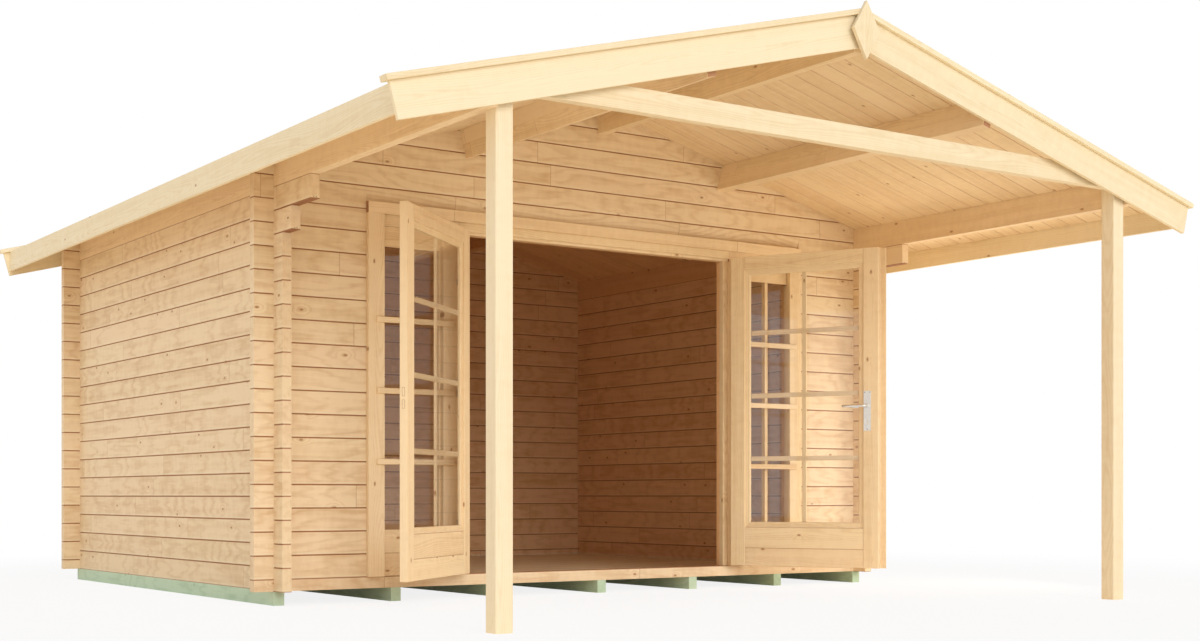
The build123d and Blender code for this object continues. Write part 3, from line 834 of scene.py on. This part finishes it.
def wood_shader(tree, shader, grain, tone, early, late, knot, rings=0.30, knots=0.17):
    """Feeds the shader from the spruce group, and returns the wood colour's socket."""
    wood = placed(tree, "Spruce grain", {
        "Grain": grain, "Tone": tone, "Early Wood": rgba(early), "Late Wood": rgba(late),
        "Knot": rgba(knot), "Ring Strength": rings, "Knot Share": knots,
    }).outputs
    relief = {"Strength": 0.22, "Distance": 0.0006, "Height": wood["Height"]}
    feed(tree, shader.inputs["Normal"], add(tree, "Bump", relief).outputs[0])
    feed(tree, shader.inputs["Roughness"], wood["Roughness"])
    feed(tree, shader.inputs["Base Color"], wood["Color"])
    shader.inputs["Specular IOR Level"].default_value = 0.35
    return wood["Color"]


def painted_room_shade(tree, shader, wood, finish):
    """Feeds the shader's colour through the room group, which paints indoor shade into it."""
    tint = {"Place": own_place(tree), "Wood": wood, "Tint": rgba(finish.room_shade)}
    feed(tree, shader.inputs["Base Color"], placed(tree, "Painted room shade", tint).outputs["Color"])


def log_material(name, along_x, first_seam, number, finish):
    """Logs of one wall, read from the object's own coordinates."""
    tree, shader = new_material(name)
    x, y, z = split(tree, own_place(tree))
    place = join(tree, x, z, y) if along_x else join(tree, y, z, x)
    logs = placed(tree, "Log courses", {
        "Place": place, "Course Height": LOG_HEIGHT, "First Seam": first_seam, "Wall Number": number
    }).outputs
    shades = finish.log_light, finish.log_dark, finish.knot
    wood = wood_shader(tree, shader, logs["Grain"], logs["Tone"], *shades)
    # Painted highlight on each log's lower edge, glue lines at finger joints, painted shade in seams
    for label, strength, shade in (
        ("Lip Highlight", 0.45, finish.cream_light),
        ("Finger Joint", 0.45, finish.knot),
        ("Seam", 0.85, finish.seam),
    ):
        mask = times(tree, logs[label], strength)
        wood = blend_colours(tree, mask, wood, rgba(shade))
    painted_room_shade(tree, shader, wood, finish)


def board_material(name, early, late, finish, **grain):
    """Wood of the new pieces, read from the place, tone and joints kept on their points, with painted
    shade on the faces that lie in joints.
    """
    tree, shader = new_material(name)
    place, tone, joint = (
        add(tree, "Attribute", attribute_name=kept).outputs[kind]
        for kept, kind in (("grain", "Vector"), ("tone", "Fac"), ("joint", "Fac"))
    )
    wood = wood_shader(tree, shader, place, tone, early, late, finish.knot, **grain)
    joint_shaded = blend_colours(tree, times(tree, joint, 0.8), wood, rgba(finish.seam))
    painted_room_shade(tree, shader, joint_shaded, finish)


# A length that tells the foundation beams apart, for their tones
BEAM_PITCH = 0.66


def treated_material(finish):
    """Pressure-treated beams, green with the grain showing through, each with its own tone."""
    tree, shader = new_material("Treated pine")
    x, y, z = split(tree, own_place(tree))
    place = join(tree, y, z, x)
    number = sums(tree, "ROUND", sums(tree, "DIVIDE", x, BEAM_PITCH))
    beam = add(tree, "TexWhiteNoise", {"W": number}, noise_dimensions="1D").outputs["Value"]
    shades = finish.treated_light, finish.treated_dark, finish.treated_dark
    wood_shader(tree, shader, place, beam, *shades, rings=0.4)


def glass_material(finish):
    """Clear float glass that lets light through to the bars and wood behind it."""
    tree, shader = new_material("Window glass")
    shader.inputs["Base Color"].default_value = rgba(finish.glass)
    shader.inputs["Transmission Weight"].default_value = 1.0
    shader.inputs["IOR"].default_value = 1.45
    clean = scaled(tree, noise(tree, own_place(tree), 3.0, 2.0), 0.03, 0.005)
    feed(tree, shader.inputs["Roughness"], clean)
    path = add(tree, "LightPath").outputs
    clear = add(tree, "BsdfTransparent", {"Color": CLEAR}).outputs[0]
    light = sums(tree, "MAXIMUM", path["Is Shadow Ray"], path["Is Diffuse Ray"])
    both = {0: light, 1: shader.outputs[0], 2: clear}
    surface(tree, add(tree, "MixShader", both).outputs[0])


def metal_material(name, shade, rough):
    """Satin metal with fine uneven brushing."""
    tree, shader = new_material(name)
    place = own_place(tree)
    soft, fine = noise(tree, place, 60.0, 3.0), noise(tree, place, 900.0, 2.0)
    tint = blend_colours(tree, soft, rgba(shade), rgba([0.82 * c for c in shade]))
    feed(tree, shader.inputs["Base Color"], tint)
    feed(tree, shader.inputs["Roughness"], scaled(tree, soft, 0.14, rough))
    shader.inputs["Metallic"].default_value = 1.0
    relief = {"Strength": 0.1, "Distance": 0.0003, "Height": fine}
    feed(tree, shader.inputs["Normal"], add(tree, "Bump", relief).outputs[0])


class CABIN_OT_finishes(bpy.types.Operator):
    """Makes the wood, glass and metal finishes and puts them on the frame's own pieces"""

    bl_idname = "cabin.finishes"
    bl_label = "Finishes"

    def execute(self, context):
        finish = context.scene.cabin_finish
        spruce_group()
        log_group()
        room_shade_group()
        for number, node in enumerate(SIDE_WALLS + CROSS_WALLS):
            crosses = node in CROSS_WALLS
            name = "Logs, " + node.replace("_", " ")
            seam = WALL_LOW.z + crosses * LOG_HEIGHT / 2
            log_material(name, crosses, seam, float(number), finish)
            dress(node, name)
        board_material("Planed spruce", finish.planed_light, finish.planed_dark, finish)
        board_material("Trim spruce", finish.cream_light, finish.cream_dark, finish, knots=0.03)
        board_material("Boards", finish.planed_light, finish.planed_dark, finish, knots=0.2)
        treated_material(finish)
        glass_material(finish)
        metal_material("Satin steel", finish.steel, 0.32)
        metal_material("Satin aluminium", finish.aluminium, 0.28)
        dress("foundation_beams", "Treated pine")
        for node in ("sidelight_glass", "left_door_glass", "right_door_glass"):
            dress(node, "Window glass")
        for node in ("frame_hinges", "left_leaf_hinges", "right_leaf_hinges"):
            dress(node, "Satin steel")
        dress("handle_plates", "Satin aluminium")
        return {"FINISHED"}


def dress(node, name):
    """Puts a material in every slot of a frame piece."""
    piece = frame["nodes"][node]
    if not piece.material_slots:
        piece.data.materials.append(material(name))
    for place in piece.material_slots:
        place.material = material(name)


class CABIN_OT_timbers(bpy.types.Operator):
    """Rounds the edges of posts, beams, purlins, verge boards, casings and the meeting strip"""

    bl_idname = "cabin.timbers"
    bl_label = "Planed timbers"

    def execute(self, context):
        boards = context.scene.cabin_boards
        slope = np.array((math.cos(ROOF_PITCH), 0.0, math.sin(ROOF_PITCH)))
        rise = np.array((-math.sin(ROOF_PITCH), 0.0, math.cos(ROOF_PITCH)))
        mirrored = np.array((-1.0, 1.0, 1.0))
        plain = [
            ("ridge_purlin", Y_AXIS, Z_AXIS, "Planed spruce", False),
            ("tie_beam", X_AXIS, Z_AXIS, "Trim spruce", False),
            ("gable_diamond", Z_AXIS, X_AXIS, "Trim spruce", False),
            ("side_casings", Z_AXIS, X_AXIS, "Planed spruce", True),
            ("meeting_strip", Z_AXIS, X_AXIS, "Planed spruce", False),
            ("front_barge_caps", slope, Y_AXIS, "Trim spruce", True),
            ("rear_barge_caps", slope, Y_AXIS, "Trim spruce", True),
        ]
        for side, turn in (("left", 1.0), ("right", mirrored)):
            plain += [
                (f"{side}_eave_purlin", Y_AXIS, Z_AXIS, "Planed spruce", False),
                (f"{side}_eave_fascia", Y_AXIS, Z_AXIS, "Trim spruce", False),
                (f"{side}_post", Z_AXIS, X_AXIS, "Trim spruce", False),
                (f"{side}_front_barge_board", slope * turn, rise * turn, "Trim spruce", False),
                (f"{side}_rear_barge_board", slope * turn, rise * turn, "Trim spruce", False),
            ]
        for seed, (node, along, across, finish, paired) in enumerate(plain):
            edge = boards.post_edge if node.endswith("post") else boards.timber_edge
            planed_copy(node, along, across, edge, seed + 100, finish, paired)
        return {"FINISHED"}


class CABIN_OT_mid_purlins(bpy.types.Operator):
    """Glues both mid purlins from two layers of finger-jointed lamellas"""

    bl_idname = "cabin.mid_purlins"
    bl_label = "Glued purlins"

    def execute(self, context):
        boards = context.scene.cabin_boards
        s, c = math.sin(ROOF_PITCH), math.cos(ROOF_PITCH)
        for name, sign in SIDES.items():
            low, high = (np.array(corner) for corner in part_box(f"{name}_mid_purlin"))
            reach_x, reach_z = high[0] - low[0], high[2] - low[2]
            depth = (reach_z * c - reach_x * s) / (c * c - s * s)
            width = (reach_x * c - reach_z * s) / (c * c - s * s)
            up = np.array((sign * s, 0.0, c))
            side = np.array((c, 0.0, -sign * s))
            wood = Joinery(seed=51 if sign < 0 else 52)
            for layer in (-1.0, 1.0):
                count = round((high[1] - low[1]) / boards.lamella_length)
                cuts = np.linspace(low[1], high[1], count + 1)
                shifts = wood.random.uniform(-CUT_SPREAD, CUT_SPREAD, count - 1)
                cuts[1:-1] += shifts * boards.lamella_length
                for y0, y1 in zip(cuts[:-1], cuts[1:]):
                    centre = (low + high) / 2 + layer * up * depth / 4
                    centre[1] = (y0 + y1) / 2
                    halves = ((0.0, (y1 - y0) / 2, 0.0), side * width / 2, up * depth / 4)
                    wood.board(centre, halves, boards.lamella_edge, hidden=(0,))
            wood.build(f"{name}_glued_purlin", "Planed spruce", "cabin", f"{name}_mid_purlin")
        return {"FINISHED"}


class CABIN_OT_door_frame(bpy.types.Operator):
    """Builds the door frame: head, jambs, mullions and stops, and the header casing over it"""

    bl_idname = "cabin.door_frame"
    bl_label = "Door frame"

    def execute(self, context):
        boards, door = context.scene.cabin_boards, context.scene.cabin_door
        edge = boards.lamella_edge
        low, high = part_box("door_frame")
        light_low, light_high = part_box("right_sidelight")
        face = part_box("front_gable")[0].y
        half_door = JOINTS["right_door_hinge"]["pos_m"][0]
        stop = shut_box("right_door_leaf", "right_door_hinge")[1]
        stop_y, rebate_top = stop[1] + door.leaf_gap, stop[2] + door.leaf_gap
        stop_x = half_door - door.stop
        wood = Joinery(seed=61)
        wood.block((low.x, stop_y, light_high.z), (high.x, high.y, high.z), edge, 0)
        wood.block((-half_door, face, rebate_top), (half_door, stop_y, high.z), edge, 0, (0,))
        for sign in (-1.0, 1.0):
            for x0, x1, y0, y1, z0, z1, axis, hidden in (
                (half_door, high.x, face, stop_y, light_high.z, high.z, 0, (0,)),
                (light_high.x, high.x, face, high.y, low.z, light_high.z, 2, (2,)),
                (half_door, light_low.x, low.y, high.y, low.z, light_high.z, 2, (2,)),
                (stop_x, half_door, stop_y, high.y, low.z, light_high.z, 2, (2,)),
            ):
                x0, x1 = sorted((sign * x0, sign * x1))
                wood.block((x0, y0, z0), (x1, y1, z1), edge, axis, hidden)
        wood.build("door_frame_boards", "Planed spruce", "cabin", "door_frame")
        wood = Joinery(seed=62)
        low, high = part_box("header_casing")
        joints = (low.x, -boards.header_joint, boards.header_joint, high.x)
        for x0, x1 in zip(joints[:-1], joints[1:]):
            wood.block((x0, low.y, low.z), (x1, high.y, high.z), edge, 0, (0,))
        wood.build("header_boards", "Planed spruce", "cabin", "header_casing")
        return {"FINISHED"}


class CABIN_OT_roof_boards(bpy.types.Operator):
    """Lays the roof boards from the ridge to the eaves"""

    bl_idname = "cabin.roof_boards"
    bl_label = "Roof boards"

    def execute(self, context):
        boards = context.scene.cabin_boards
        count = round((ROOF_HIGH.y - ROOF_LOW.y) / boards.roof_cover)
        width = (ROOF_HIGH.y - ROOF_LOW.y) / count
        run = ROOF_HIGH.x - ROOF_LOW.x
        slope = math.tan(ROOF_PITCH)
        thickness = ROOF_HIGH.z - ROOF_LOW.z - run * slope
        for name, sign in SIDES.items():
            wood = Joinery(seed=11 if sign < 0 else 12)
            centre_z = (ROOF_LOW.z + ROOF_HIGH.z) / 2
            halves = (
                (sign * run / 2, 0.0, -run * slope / 2),
                (0.0, (width - boards.board_joint) / 2, 0.0),
                (0.0, 0.0, thickness / 2),
            )
            for i in range(count):
                centre = (sign * run / 2, ROOF_LOW.y + (i + 0.5) * width, centre_z)
                wood.board(centre, halves, boards.board_edge, hidden=(1,))
            wood.build(f"{name}_roof_boards", "Boards", "cabin", f"{name}_roof")
        return {"FINISHED"}


class CABIN_OT_floor_boards(bpy.types.Operator):
    """Lays the floor boards across the beams"""

    bl_idname = "cabin.floor_boards"
    bl_label = "Floor boards"

    def execute(self, context):
        boards = context.scene.cabin_boards
        low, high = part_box("floor")
        count = round((high.y - low.y) / boards.floor_cover)
        width = (high.y - low.y) / count
        wood = Joinery(seed=21)
        gap = boards.board_joint / 2
        for i in range(count):
            y0, y1 = low.y + i * width + gap, low.y + i * width + width - gap
            wood.block((low.x, y0, low.z), (high.x, y1, high.z), boards.board_edge / 2, 0, (1,))
        wood.build("floor_boards", "Boards", "cabin", "floor")
        return {"FINISHED"}


def closing(joint_name):
    """The angle that shuts a leaf from its open rest, and the hinge's place."""
    joint = JOINTS[joint_name]
    angle = math.radians(max(joint["range_deg"], key=abs))
    return angle, np.array(joint["pos_m"], float)


def shut_box(node, joint_name):
    """Lowest and highest corner of a leaf's node once the leaf is turned shut."""
    angle, place = closing(joint_name)
    turned = (places(frame["nodes"][node].data) - place) @ spin(angle).T + place
    return turned.min(axis=0), turned.max(axis=0)


def span(node, start, direction):
    """Lowest and highest distance of a node's points from the start, along a direction."""
    along = (places(frame["nodes"][node].data) - start) @ direction
    return along.min(), along.max()


class CABIN_OT_door_leaves(bpy.types.Operator):
    """Builds both door leaves from stiles, rails, panel boards, mouldings and glazing bars"""

    bl_idname = "cabin.door_leaves"
    bl_label = "Door leaves"

    def execute(self, context):
        door = context.scene.cabin_door
        for name, sign in SIDES.items():
            joint = f"{name}_door_hinge"
            low, high = shut_box(f"{name}_door_leaf", joint)
            angle, place = closing(joint)
            wood = Joinery(seed=31 if sign < 0 else 32)
            leaf_members(wood, low, high, door)
            wood.turn(-angle, place)
            wood.build(f"{name}_leaf_joinery", "Planed spruce", f"{name}_leaf", f"{name}_door_leaf")
        return {"FINISHED"}


def leaf_members(wood, low, high, door):
    """Members of a shut leaf between two corners."""
    edge = door.member_edge
    x0, x1 = low[0] + door.stile, high[0] - door.stile
    z0, z1 = low[2] + door.panel, high[2] - door.top_rail
    for a, b in ((low[0], x0), (x1, high[0])):
        wood.block((a, low[1], low[2]), (b, high[1], high[2]), edge, 2)
    wood.block((x0, low[1], z1), (x1, high[1], high[2]), edge, 0, (0,))
    split_z = low[2] + door.panel_split
    recess = door.bead_setback / 4
    for a, b in ((low[2], split_z), (split_z, z0)):
        wood.block((x0, low[1] + recess, a), (x1, high[1] - recess, b), edge, 0, (0, 2))
    middle = (low[1] + high[1]) / 2
    for face, inward in ((low[1], 1.0), (high[1], -1.0)):
        start = face + inward * door.bead_setback
        wood.mitred_frame((x0, z0), (x1, z1), bead_profile(door, start, middle, inward))
    x0, x1, z0, z1 = x0 + door.bead, x1 - door.bead, z0 + door.bead, z1 - door.bead
    centre = (x0 + x1) / 2
    half = door.upright_bar / 2
    back = middle - door.glass / 2
    front = back - door.bar_depth
    wood.block((centre - half, front, z0), (centre + half, back, z1), edge, 2)
    half = door.cross_bar / 2
    for i in range(3):
        z = z0 + door.first_bar + i * door.bar_pitch
        bar = (x0, front - door.bar_step, z - half), (x1, back, z + half)
        wood.block(*bar, edge * BAR_ROUNDING, 0)


def bead_profile(door, start, middle, inward):
    """Section of a glazing bead, from its outer edge to the glass: flat for a share of its width,
    then a step and a quarter round down to the glass, y = start + step + r (1 - cos t) and
    x = width - r + r sin t."""
    width, r = door.bead, door.bead_round
    t = np.linspace(0.0, math.pi / 2, 5)
    flat, step, body = width * door.bead_flat, door.bead_quirk, door.bead_body
    inset = [0.0, 0.0, flat, flat + QUIRK_RUN, *(width - r + r * np.sin(t)), width]
    depth = [body, 0.0, 0.0, step, *(step + r * (1.0 - np.cos(t))), body]
    y = start + inward * np.array(depth)
    limit = middle - inward * door.glass / 2
    y = np.minimum(y, limit) if inward > 0 else np.maximum(y, limit)
    return np.stack([inset, y], axis=1)


class CABIN_OT_sidelights(bpy.types.Operator):
    """Builds the fixed side lights: boarded foot, head board, thin edges and glazing bars"""

    bl_idname = "cabin.sidelights"
    bl_label = "Side lights"

    def execute(self, context):
        light = context.scene.cabin_sidelight
        edge = context.scene.cabin_door.member_edge
        for name, sign in SIDES.items():
            low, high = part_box(f"{name}_sidelight")
            wood = Joinery(seed=41 if sign < 0 else 42)
            foot_top = low.z + light.foot
            split_z = low.z + light.foot_split
            head_low = high.z - light.head
            for z0, z1 in ((low.z, split_z), (split_z, foot_top), (head_low, high.z)):
                wood.block((low.x, low.y, z0), (high.x, high.y, z1), edge, 0, (0, 2))
            for x0, x1 in ((low.x, low.x + light.edge), (high.x - light.edge, high.x)):
                wood.block((x0, low.y, foot_top), (x1, high.y, head_low), edge, 2)
            centre = (low.x + high.x) / 2
            half = light.upright_bar / 2
            glass_low, glass_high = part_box("sidelight_glass")
            for y0, y1 in ((low.y, glass_low.y), (glass_high.y, high.y)):
                wood.block((centre - half, y0, foot_top), (centre + half, y1, head_low), edge, 2)
            laps = (light.outer_lap, light.inner_lap)
            left_lap, right_lap = laps if sign < 0 else laps[::-1]
            y1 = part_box("side_casings")[0].y
            y0 = y1 - light.cross_bar_depth
            half = light.cross_bar / 2
            for i in range(3):
                z = foot_top + light.first_bar + i * light.bar_pitch
                bar = (low.x - left_lap, y0, z - half), (high.x + right_lap, y1, z + half)
                wood.slanted(*bar, light.cross_bar_taper, edge * BAR_ROUNDING)
            node = f"{name}_sidelight"
            wood.build(f"{node}_joinery", "Planed spruce", "cabin", node)
        return {"FINISHED"}


# Turned shapes, as shares of radius and height for the collar, and as shares of radius and
# heights in metres for a screw head with its sunk socket
COLLAR = ((1.0, 0.0), (1.0, 0.8), (0.9, 1.0), (0.4, 1.0))
SCREW_HEAD = ((1.0, -0.0004), (0.96, 0.0003), (0.7, 0.0009), (0.4, 0.0010), (0.34, 0.0002))
# Chamfers of the lock plate and of the pockets' outlines
PLATE_EDGE = 0.0006
RIM_EDGE = 0.0002


class CABIN_OT_fittings(bpy.types.Operator):
    """Bends the lever, adds screws to the handle plates and outlines pockets on the other leaf in
    painted shade
    """

    bl_idname = "cabin.fittings"
    bl_label = "Door fittings"

    def execute(self, context):
        fitting = context.scene.cabin_fitting
        joint = JOINTS["door_lever_turn"]
        pivot = np.array(joint["pos_m"], float)
        axis = np.array(joint["axis"], float)
        axis /= np.linalg.norm(axis)
        away = np.cross(axis, Z_AXIS)
        reach = span("door_lever", pivot, axis)[1] - fitting.lever_radius
        length = span("door_lever", pivot, away)[1] - fitting.lever_radius * 0.5
        plate = span("handle_plates", pivot, axis)[1]
        bend = fitting.lever_bend
        turn = np.linspace(0.0, math.pi / 2, 9)[:, None]
        lever, screws = Fittings(), Fittings()
        for sign in (-1.0, 1.0):
            out = sign * axis
            corner = pivot + (reach - bend) * out + bend * away
            # From inside the plate, round the bend, and along the grip
            path = np.concatenate([
                [pivot + plate * 0.5 * out, pivot + plate * out],
                corner - bend * np.cos(turn) * away + bend * np.sin(turn) * out,
                [pivot + reach * out + length * away * k for k in (0.4, 0.7, 1.0)],
            ])
            lever.bent_bar(path, fitting.lever_radius)
            radius, tall = fitting.collar_radius, fitting.collar_height
            lever.turned(pivot + plate * out, out, [(radius * r, tall * h) for r, h in COLLAR])
            low, high = span("handle_plates", pivot, Z_AXIS)
            for side, level in (
                (-fitting.screw_side, high - fitting.screw_end),
                (fitting.screw_side, high - fitting.screw_end),
                (0.0, low + fitting.screw_end),
            ):
                start = pivot + plate * out + side * away + level * Z_AXIS
                head = [(fitting.screw_radius * r, h) for r, h in SCREW_HEAD]
                screws.turned(start, out, head, count=16)
        lever.build("bent_lever", "Satin aluminium", "lever", "satin_aluminium", "door_lever")
        screws.build("plate_screws", "Satin steel", "right_leaf", "satin_steel")
        self.pockets(fitting)
        return {"FINISHED"}

    def pockets(self, fitting):
        """Two mortise pockets in the free edge of the left leaf, each with a dark outline of painted
        shade.
        """
        low, high = shut_box("lock_plate", "left_door_hinge")
        angle, place = closing("left_door_hinge")
        wood = Joinery(seed=71)
        skin = high[0] - fitting.pocket_relief
        wood.block(low, (skin, high[1], high[2]), PLATE_EDGE, 2)
        y0, y1 = low[1] + fitting.pocket_side, high[1] - fitting.pocket_side
        shade_rim, tall = fitting.pocket_shade_rim, high[2] - low[2]
        for part in (fitting.lower_pocket, fitting.upper_pocket):
            z0 = low[2] + part * tall
            z1 = z0 + fitting.pocket_height * tall
            for a0, a1, b0, b1 in (
                (y0, y1, z0, z0 + shade_rim),
                (y0, y1, z1 - shade_rim, z1),
                (y0, y0 + shade_rim, z0 + shade_rim, z1 - shade_rim),
                (y1 - shade_rim, y1, z0 + shade_rim, z1 - shade_rim),
            ):
                # All faces of an outline lie in a joint, so they take painted shade
                wood.block((skin, a0, b0), (high[0], a1, b1), RIM_EDGE, 2, (0, 1, 2))
        wood.turn(-angle, place)
        wood.build("leaf_edge_pockets", "Planed spruce", "left_leaf", "lock_plate")


class CABIN_OT_stage(bpy.types.Operator):
    """Sets up the floor, the even light all round, both lamps and the camera"""

    bl_idname = "cabin.stage"
    bl_label = "Stage"

    def execute(self, context):
        stage = context.scene.cabin_stage
        studio_floor(stage)
        studio_world(stage)
        key, lamp = new_lamp("Key light", "SUN", stage.key_strength, KEY_COLOUR)
        key.angle = stage.key_spread
        lamp.rotation_euler = (math.pi / 2 - stage.key_height, 0.0, -stage.key_turn)
        side, lamp = new_lamp("Side light", "AREA", stage.side_power, SIDE_COLOUR)
        side.size = stage.side_size
        lamp.location = stage.side_place
        aim = Vector(JOINTS["right_door_hinge"]["pos_m"]) - lamp.location
        lamp.rotation_euler = aim.to_track_quat("-Z", "Y").to_euler()
        lamp.visible_camera = lamp.visible_glossy = lamp.visible_transmission = False
        view = bpy.data.cameras.new("Camera")
        view.lens = stage.lens
        view.sensor_width = 36.0
        view.shift_y = stage.shift
        camera = bpy.data.objects.new("Camera", view)
        context.scene.collection.objects.link(camera)
        camera.location = stage.camera_place
        camera.rotation_euler = (math.pi / 2, 0.0, -stage.camera_turn)
        context.scene.camera = camera
        context.scene.view_settings.view_transform = "Standard"
        return {"FINISHED"}


def new_lamp(name, kind, energy, shade):
    """A lamp of that kind, strength and colour, and its object."""
    light = bpy.data.lights.new(name, kind)
    light.energy = energy
    light.color = shade
    made = bpy.data.objects.new(name, light)
    bpy.context.scene.collection.objects.link(made)
    return light, made


def white_to_the_eye(tree, shown, other):
    """The first shader where the camera, a reflection or clear glass looks, and else the second."""
    path = add(tree, "LightPath").outputs
    seen = sums(tree, "MAXIMUM", path["Is Camera Ray"], path["Is Glossy Ray"])
    seen = sums(tree, "MAXIMUM", seen, path["Is Transmission Ray"])
    return add(tree, "MixShader", {0: seen, 1: other, 2: shown}).outputs[0]


# How high a direction points where the light starts to weaken, and where it is weakest
SKY_FADE = (0.15, 0.75)


def studio_world(stage):
    """White to the eye; as light it is strongest near the horizon and weaker overhead."""
    world = bpy.data.worlds.new("Studio")
    bpy.context.scene.world = world
    world.use_nodes = True
    tree = world.node_tree
    tree.nodes.clear()
    up = split(tree, own_place(tree))[2]
    strength = between(tree, up, *SKY_FADE, stage.fill, stage.fill * stage.fill_above)
    white, light = (
        add(tree, "Background", {"Color": WHITE, "Strength": value}).outputs[0]
        for value in (1.0, strength)
    )
    tree.nodes.new("ShaderNodeOutputWorld")
    surface(tree, white_to_the_eye(tree, white, light))


# Where the floor starts to throw up light and does so fully, beside and before the cabin, and how
# far from the middle its shadow starts to fade and is gone
BESIDE = (2.1, 2.7)
BEFORE = (-0.7, -1.3)
SHADOW_FADE = (3.5, 8.0)


def studio_floor(stage):
    """A floor that shows the cabin's soft shadow on white and throws warm light back."""
    tree, shader = new_material("Studio floor")
    shader.inputs["Base Color"].default_value = WHITE
    shader.inputs["Roughness"].default_value = 0.9
    shader.inputs["Specular IOR Level"].default_value = 0.0
    place = own_place(tree)
    x, y = split(tree, place)[:2]
    beside = between(tree, sums(tree, "ABSOLUTE", x), *BESIDE)
    before = between(tree, y, *BEFORE)
    free = times(tree, sums(tree, "MAXIMUM", beside, before), stage.floor_light)
    back = add(tree, "BsdfDiffuse", {"Color": FLOOR_BOUNCE}).outputs[0]
    lift = add(tree, "Emission", {"Color": FLOOR_LIGHT, "Strength": free}).outputs[0]
    bounce = add(tree, "AddShader", {0: back, 1: lift}).outputs[0]
    away = add(tree, "VectorMath", {0: place}, operation="LENGTH").outputs["Value"]
    bright = between(tree, away, *SHADOW_FADE, 1.0 - stage.shadow, 1.0)
    glow = add(tree, "Emission", {"Color": WHITE, "Strength": 1.0}).outputs[0]
    shown = add(tree, "MixShader", {0: bright, 1: shader.outputs[0], 2: glow}).outputs[0]
    surface(tree, white_to_the_eye(tree, shown, bounce))
    r = stage.floor_reach
    points = np.array([(-r, -r, 0.0), (r, -r, 0.0), (r, r, 0.0), (-r, r, 0.0)])
    mesh_object("studio_floor", points, [(0, 1, 2, 3)], "Studio floor")


class CABIN_PT_panel(bpy.types.Panel):
    """Steps that dress the cabin's frame"""

    bl_idname = "CABIN_PT_panel"
    bl_label = "Log cabin"
    bl_space_type = "VIEW_3D"
    bl_region_type = "UI"
    bl_category = "Log cabin"

    def draw(self, context):
        for step in STEPS:
            self.layout.operator(step.bl_idname)


SETTINGS = {
    "cabin_boards": CabinBoardSettings,
    "cabin_door": CabinDoorSettings,
    "cabin_sidelight": CabinSidelightSettings,
    "cabin_fitting": CabinFittingSettings,
    "cabin_finish": CabinFinishSettings,
    "cabin_stage": CabinStageSettings,
}
STEPS = (
    CABIN_OT_finishes,
    CABIN_OT_timbers,
    CABIN_OT_mid_purlins,
    CABIN_OT_roof_boards,
    CABIN_OT_floor_boards,
    CABIN_OT_door_frame,
    CABIN_OT_door_leaves,
    CABIN_OT_sidelights,
    CABIN_OT_fittings,
    CABIN_OT_stage,
)


def register():
    """Registers the settings, the steps and the panel."""
    for kind in (*SETTINGS.values(), *STEPS, CABIN_PT_panel):
        bpy.utils.register_class(kind)
    for name, kind in SETTINGS.items():
        setattr(bpy.types.Scene, name, bpy.props.PointerProperty(type=kind))


def unregister():
    """Takes away all that register added."""
    for name in SETTINGS:
        delattr(bpy.types.Scene, name)
    for kind in (CABIN_PT_panel, *reversed(STEPS), *reversed(SETTINGS.values())):
        bpy.utils.unregister_class(kind)


def main():
    """Dresses the frame step by step."""
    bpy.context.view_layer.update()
    register()
    for step in STEPS:
        group, action = step.bl_idname.split(".")
        getattr(getattr(bpy.ops, group), action)()


if __name__ == "__main__":
    main()
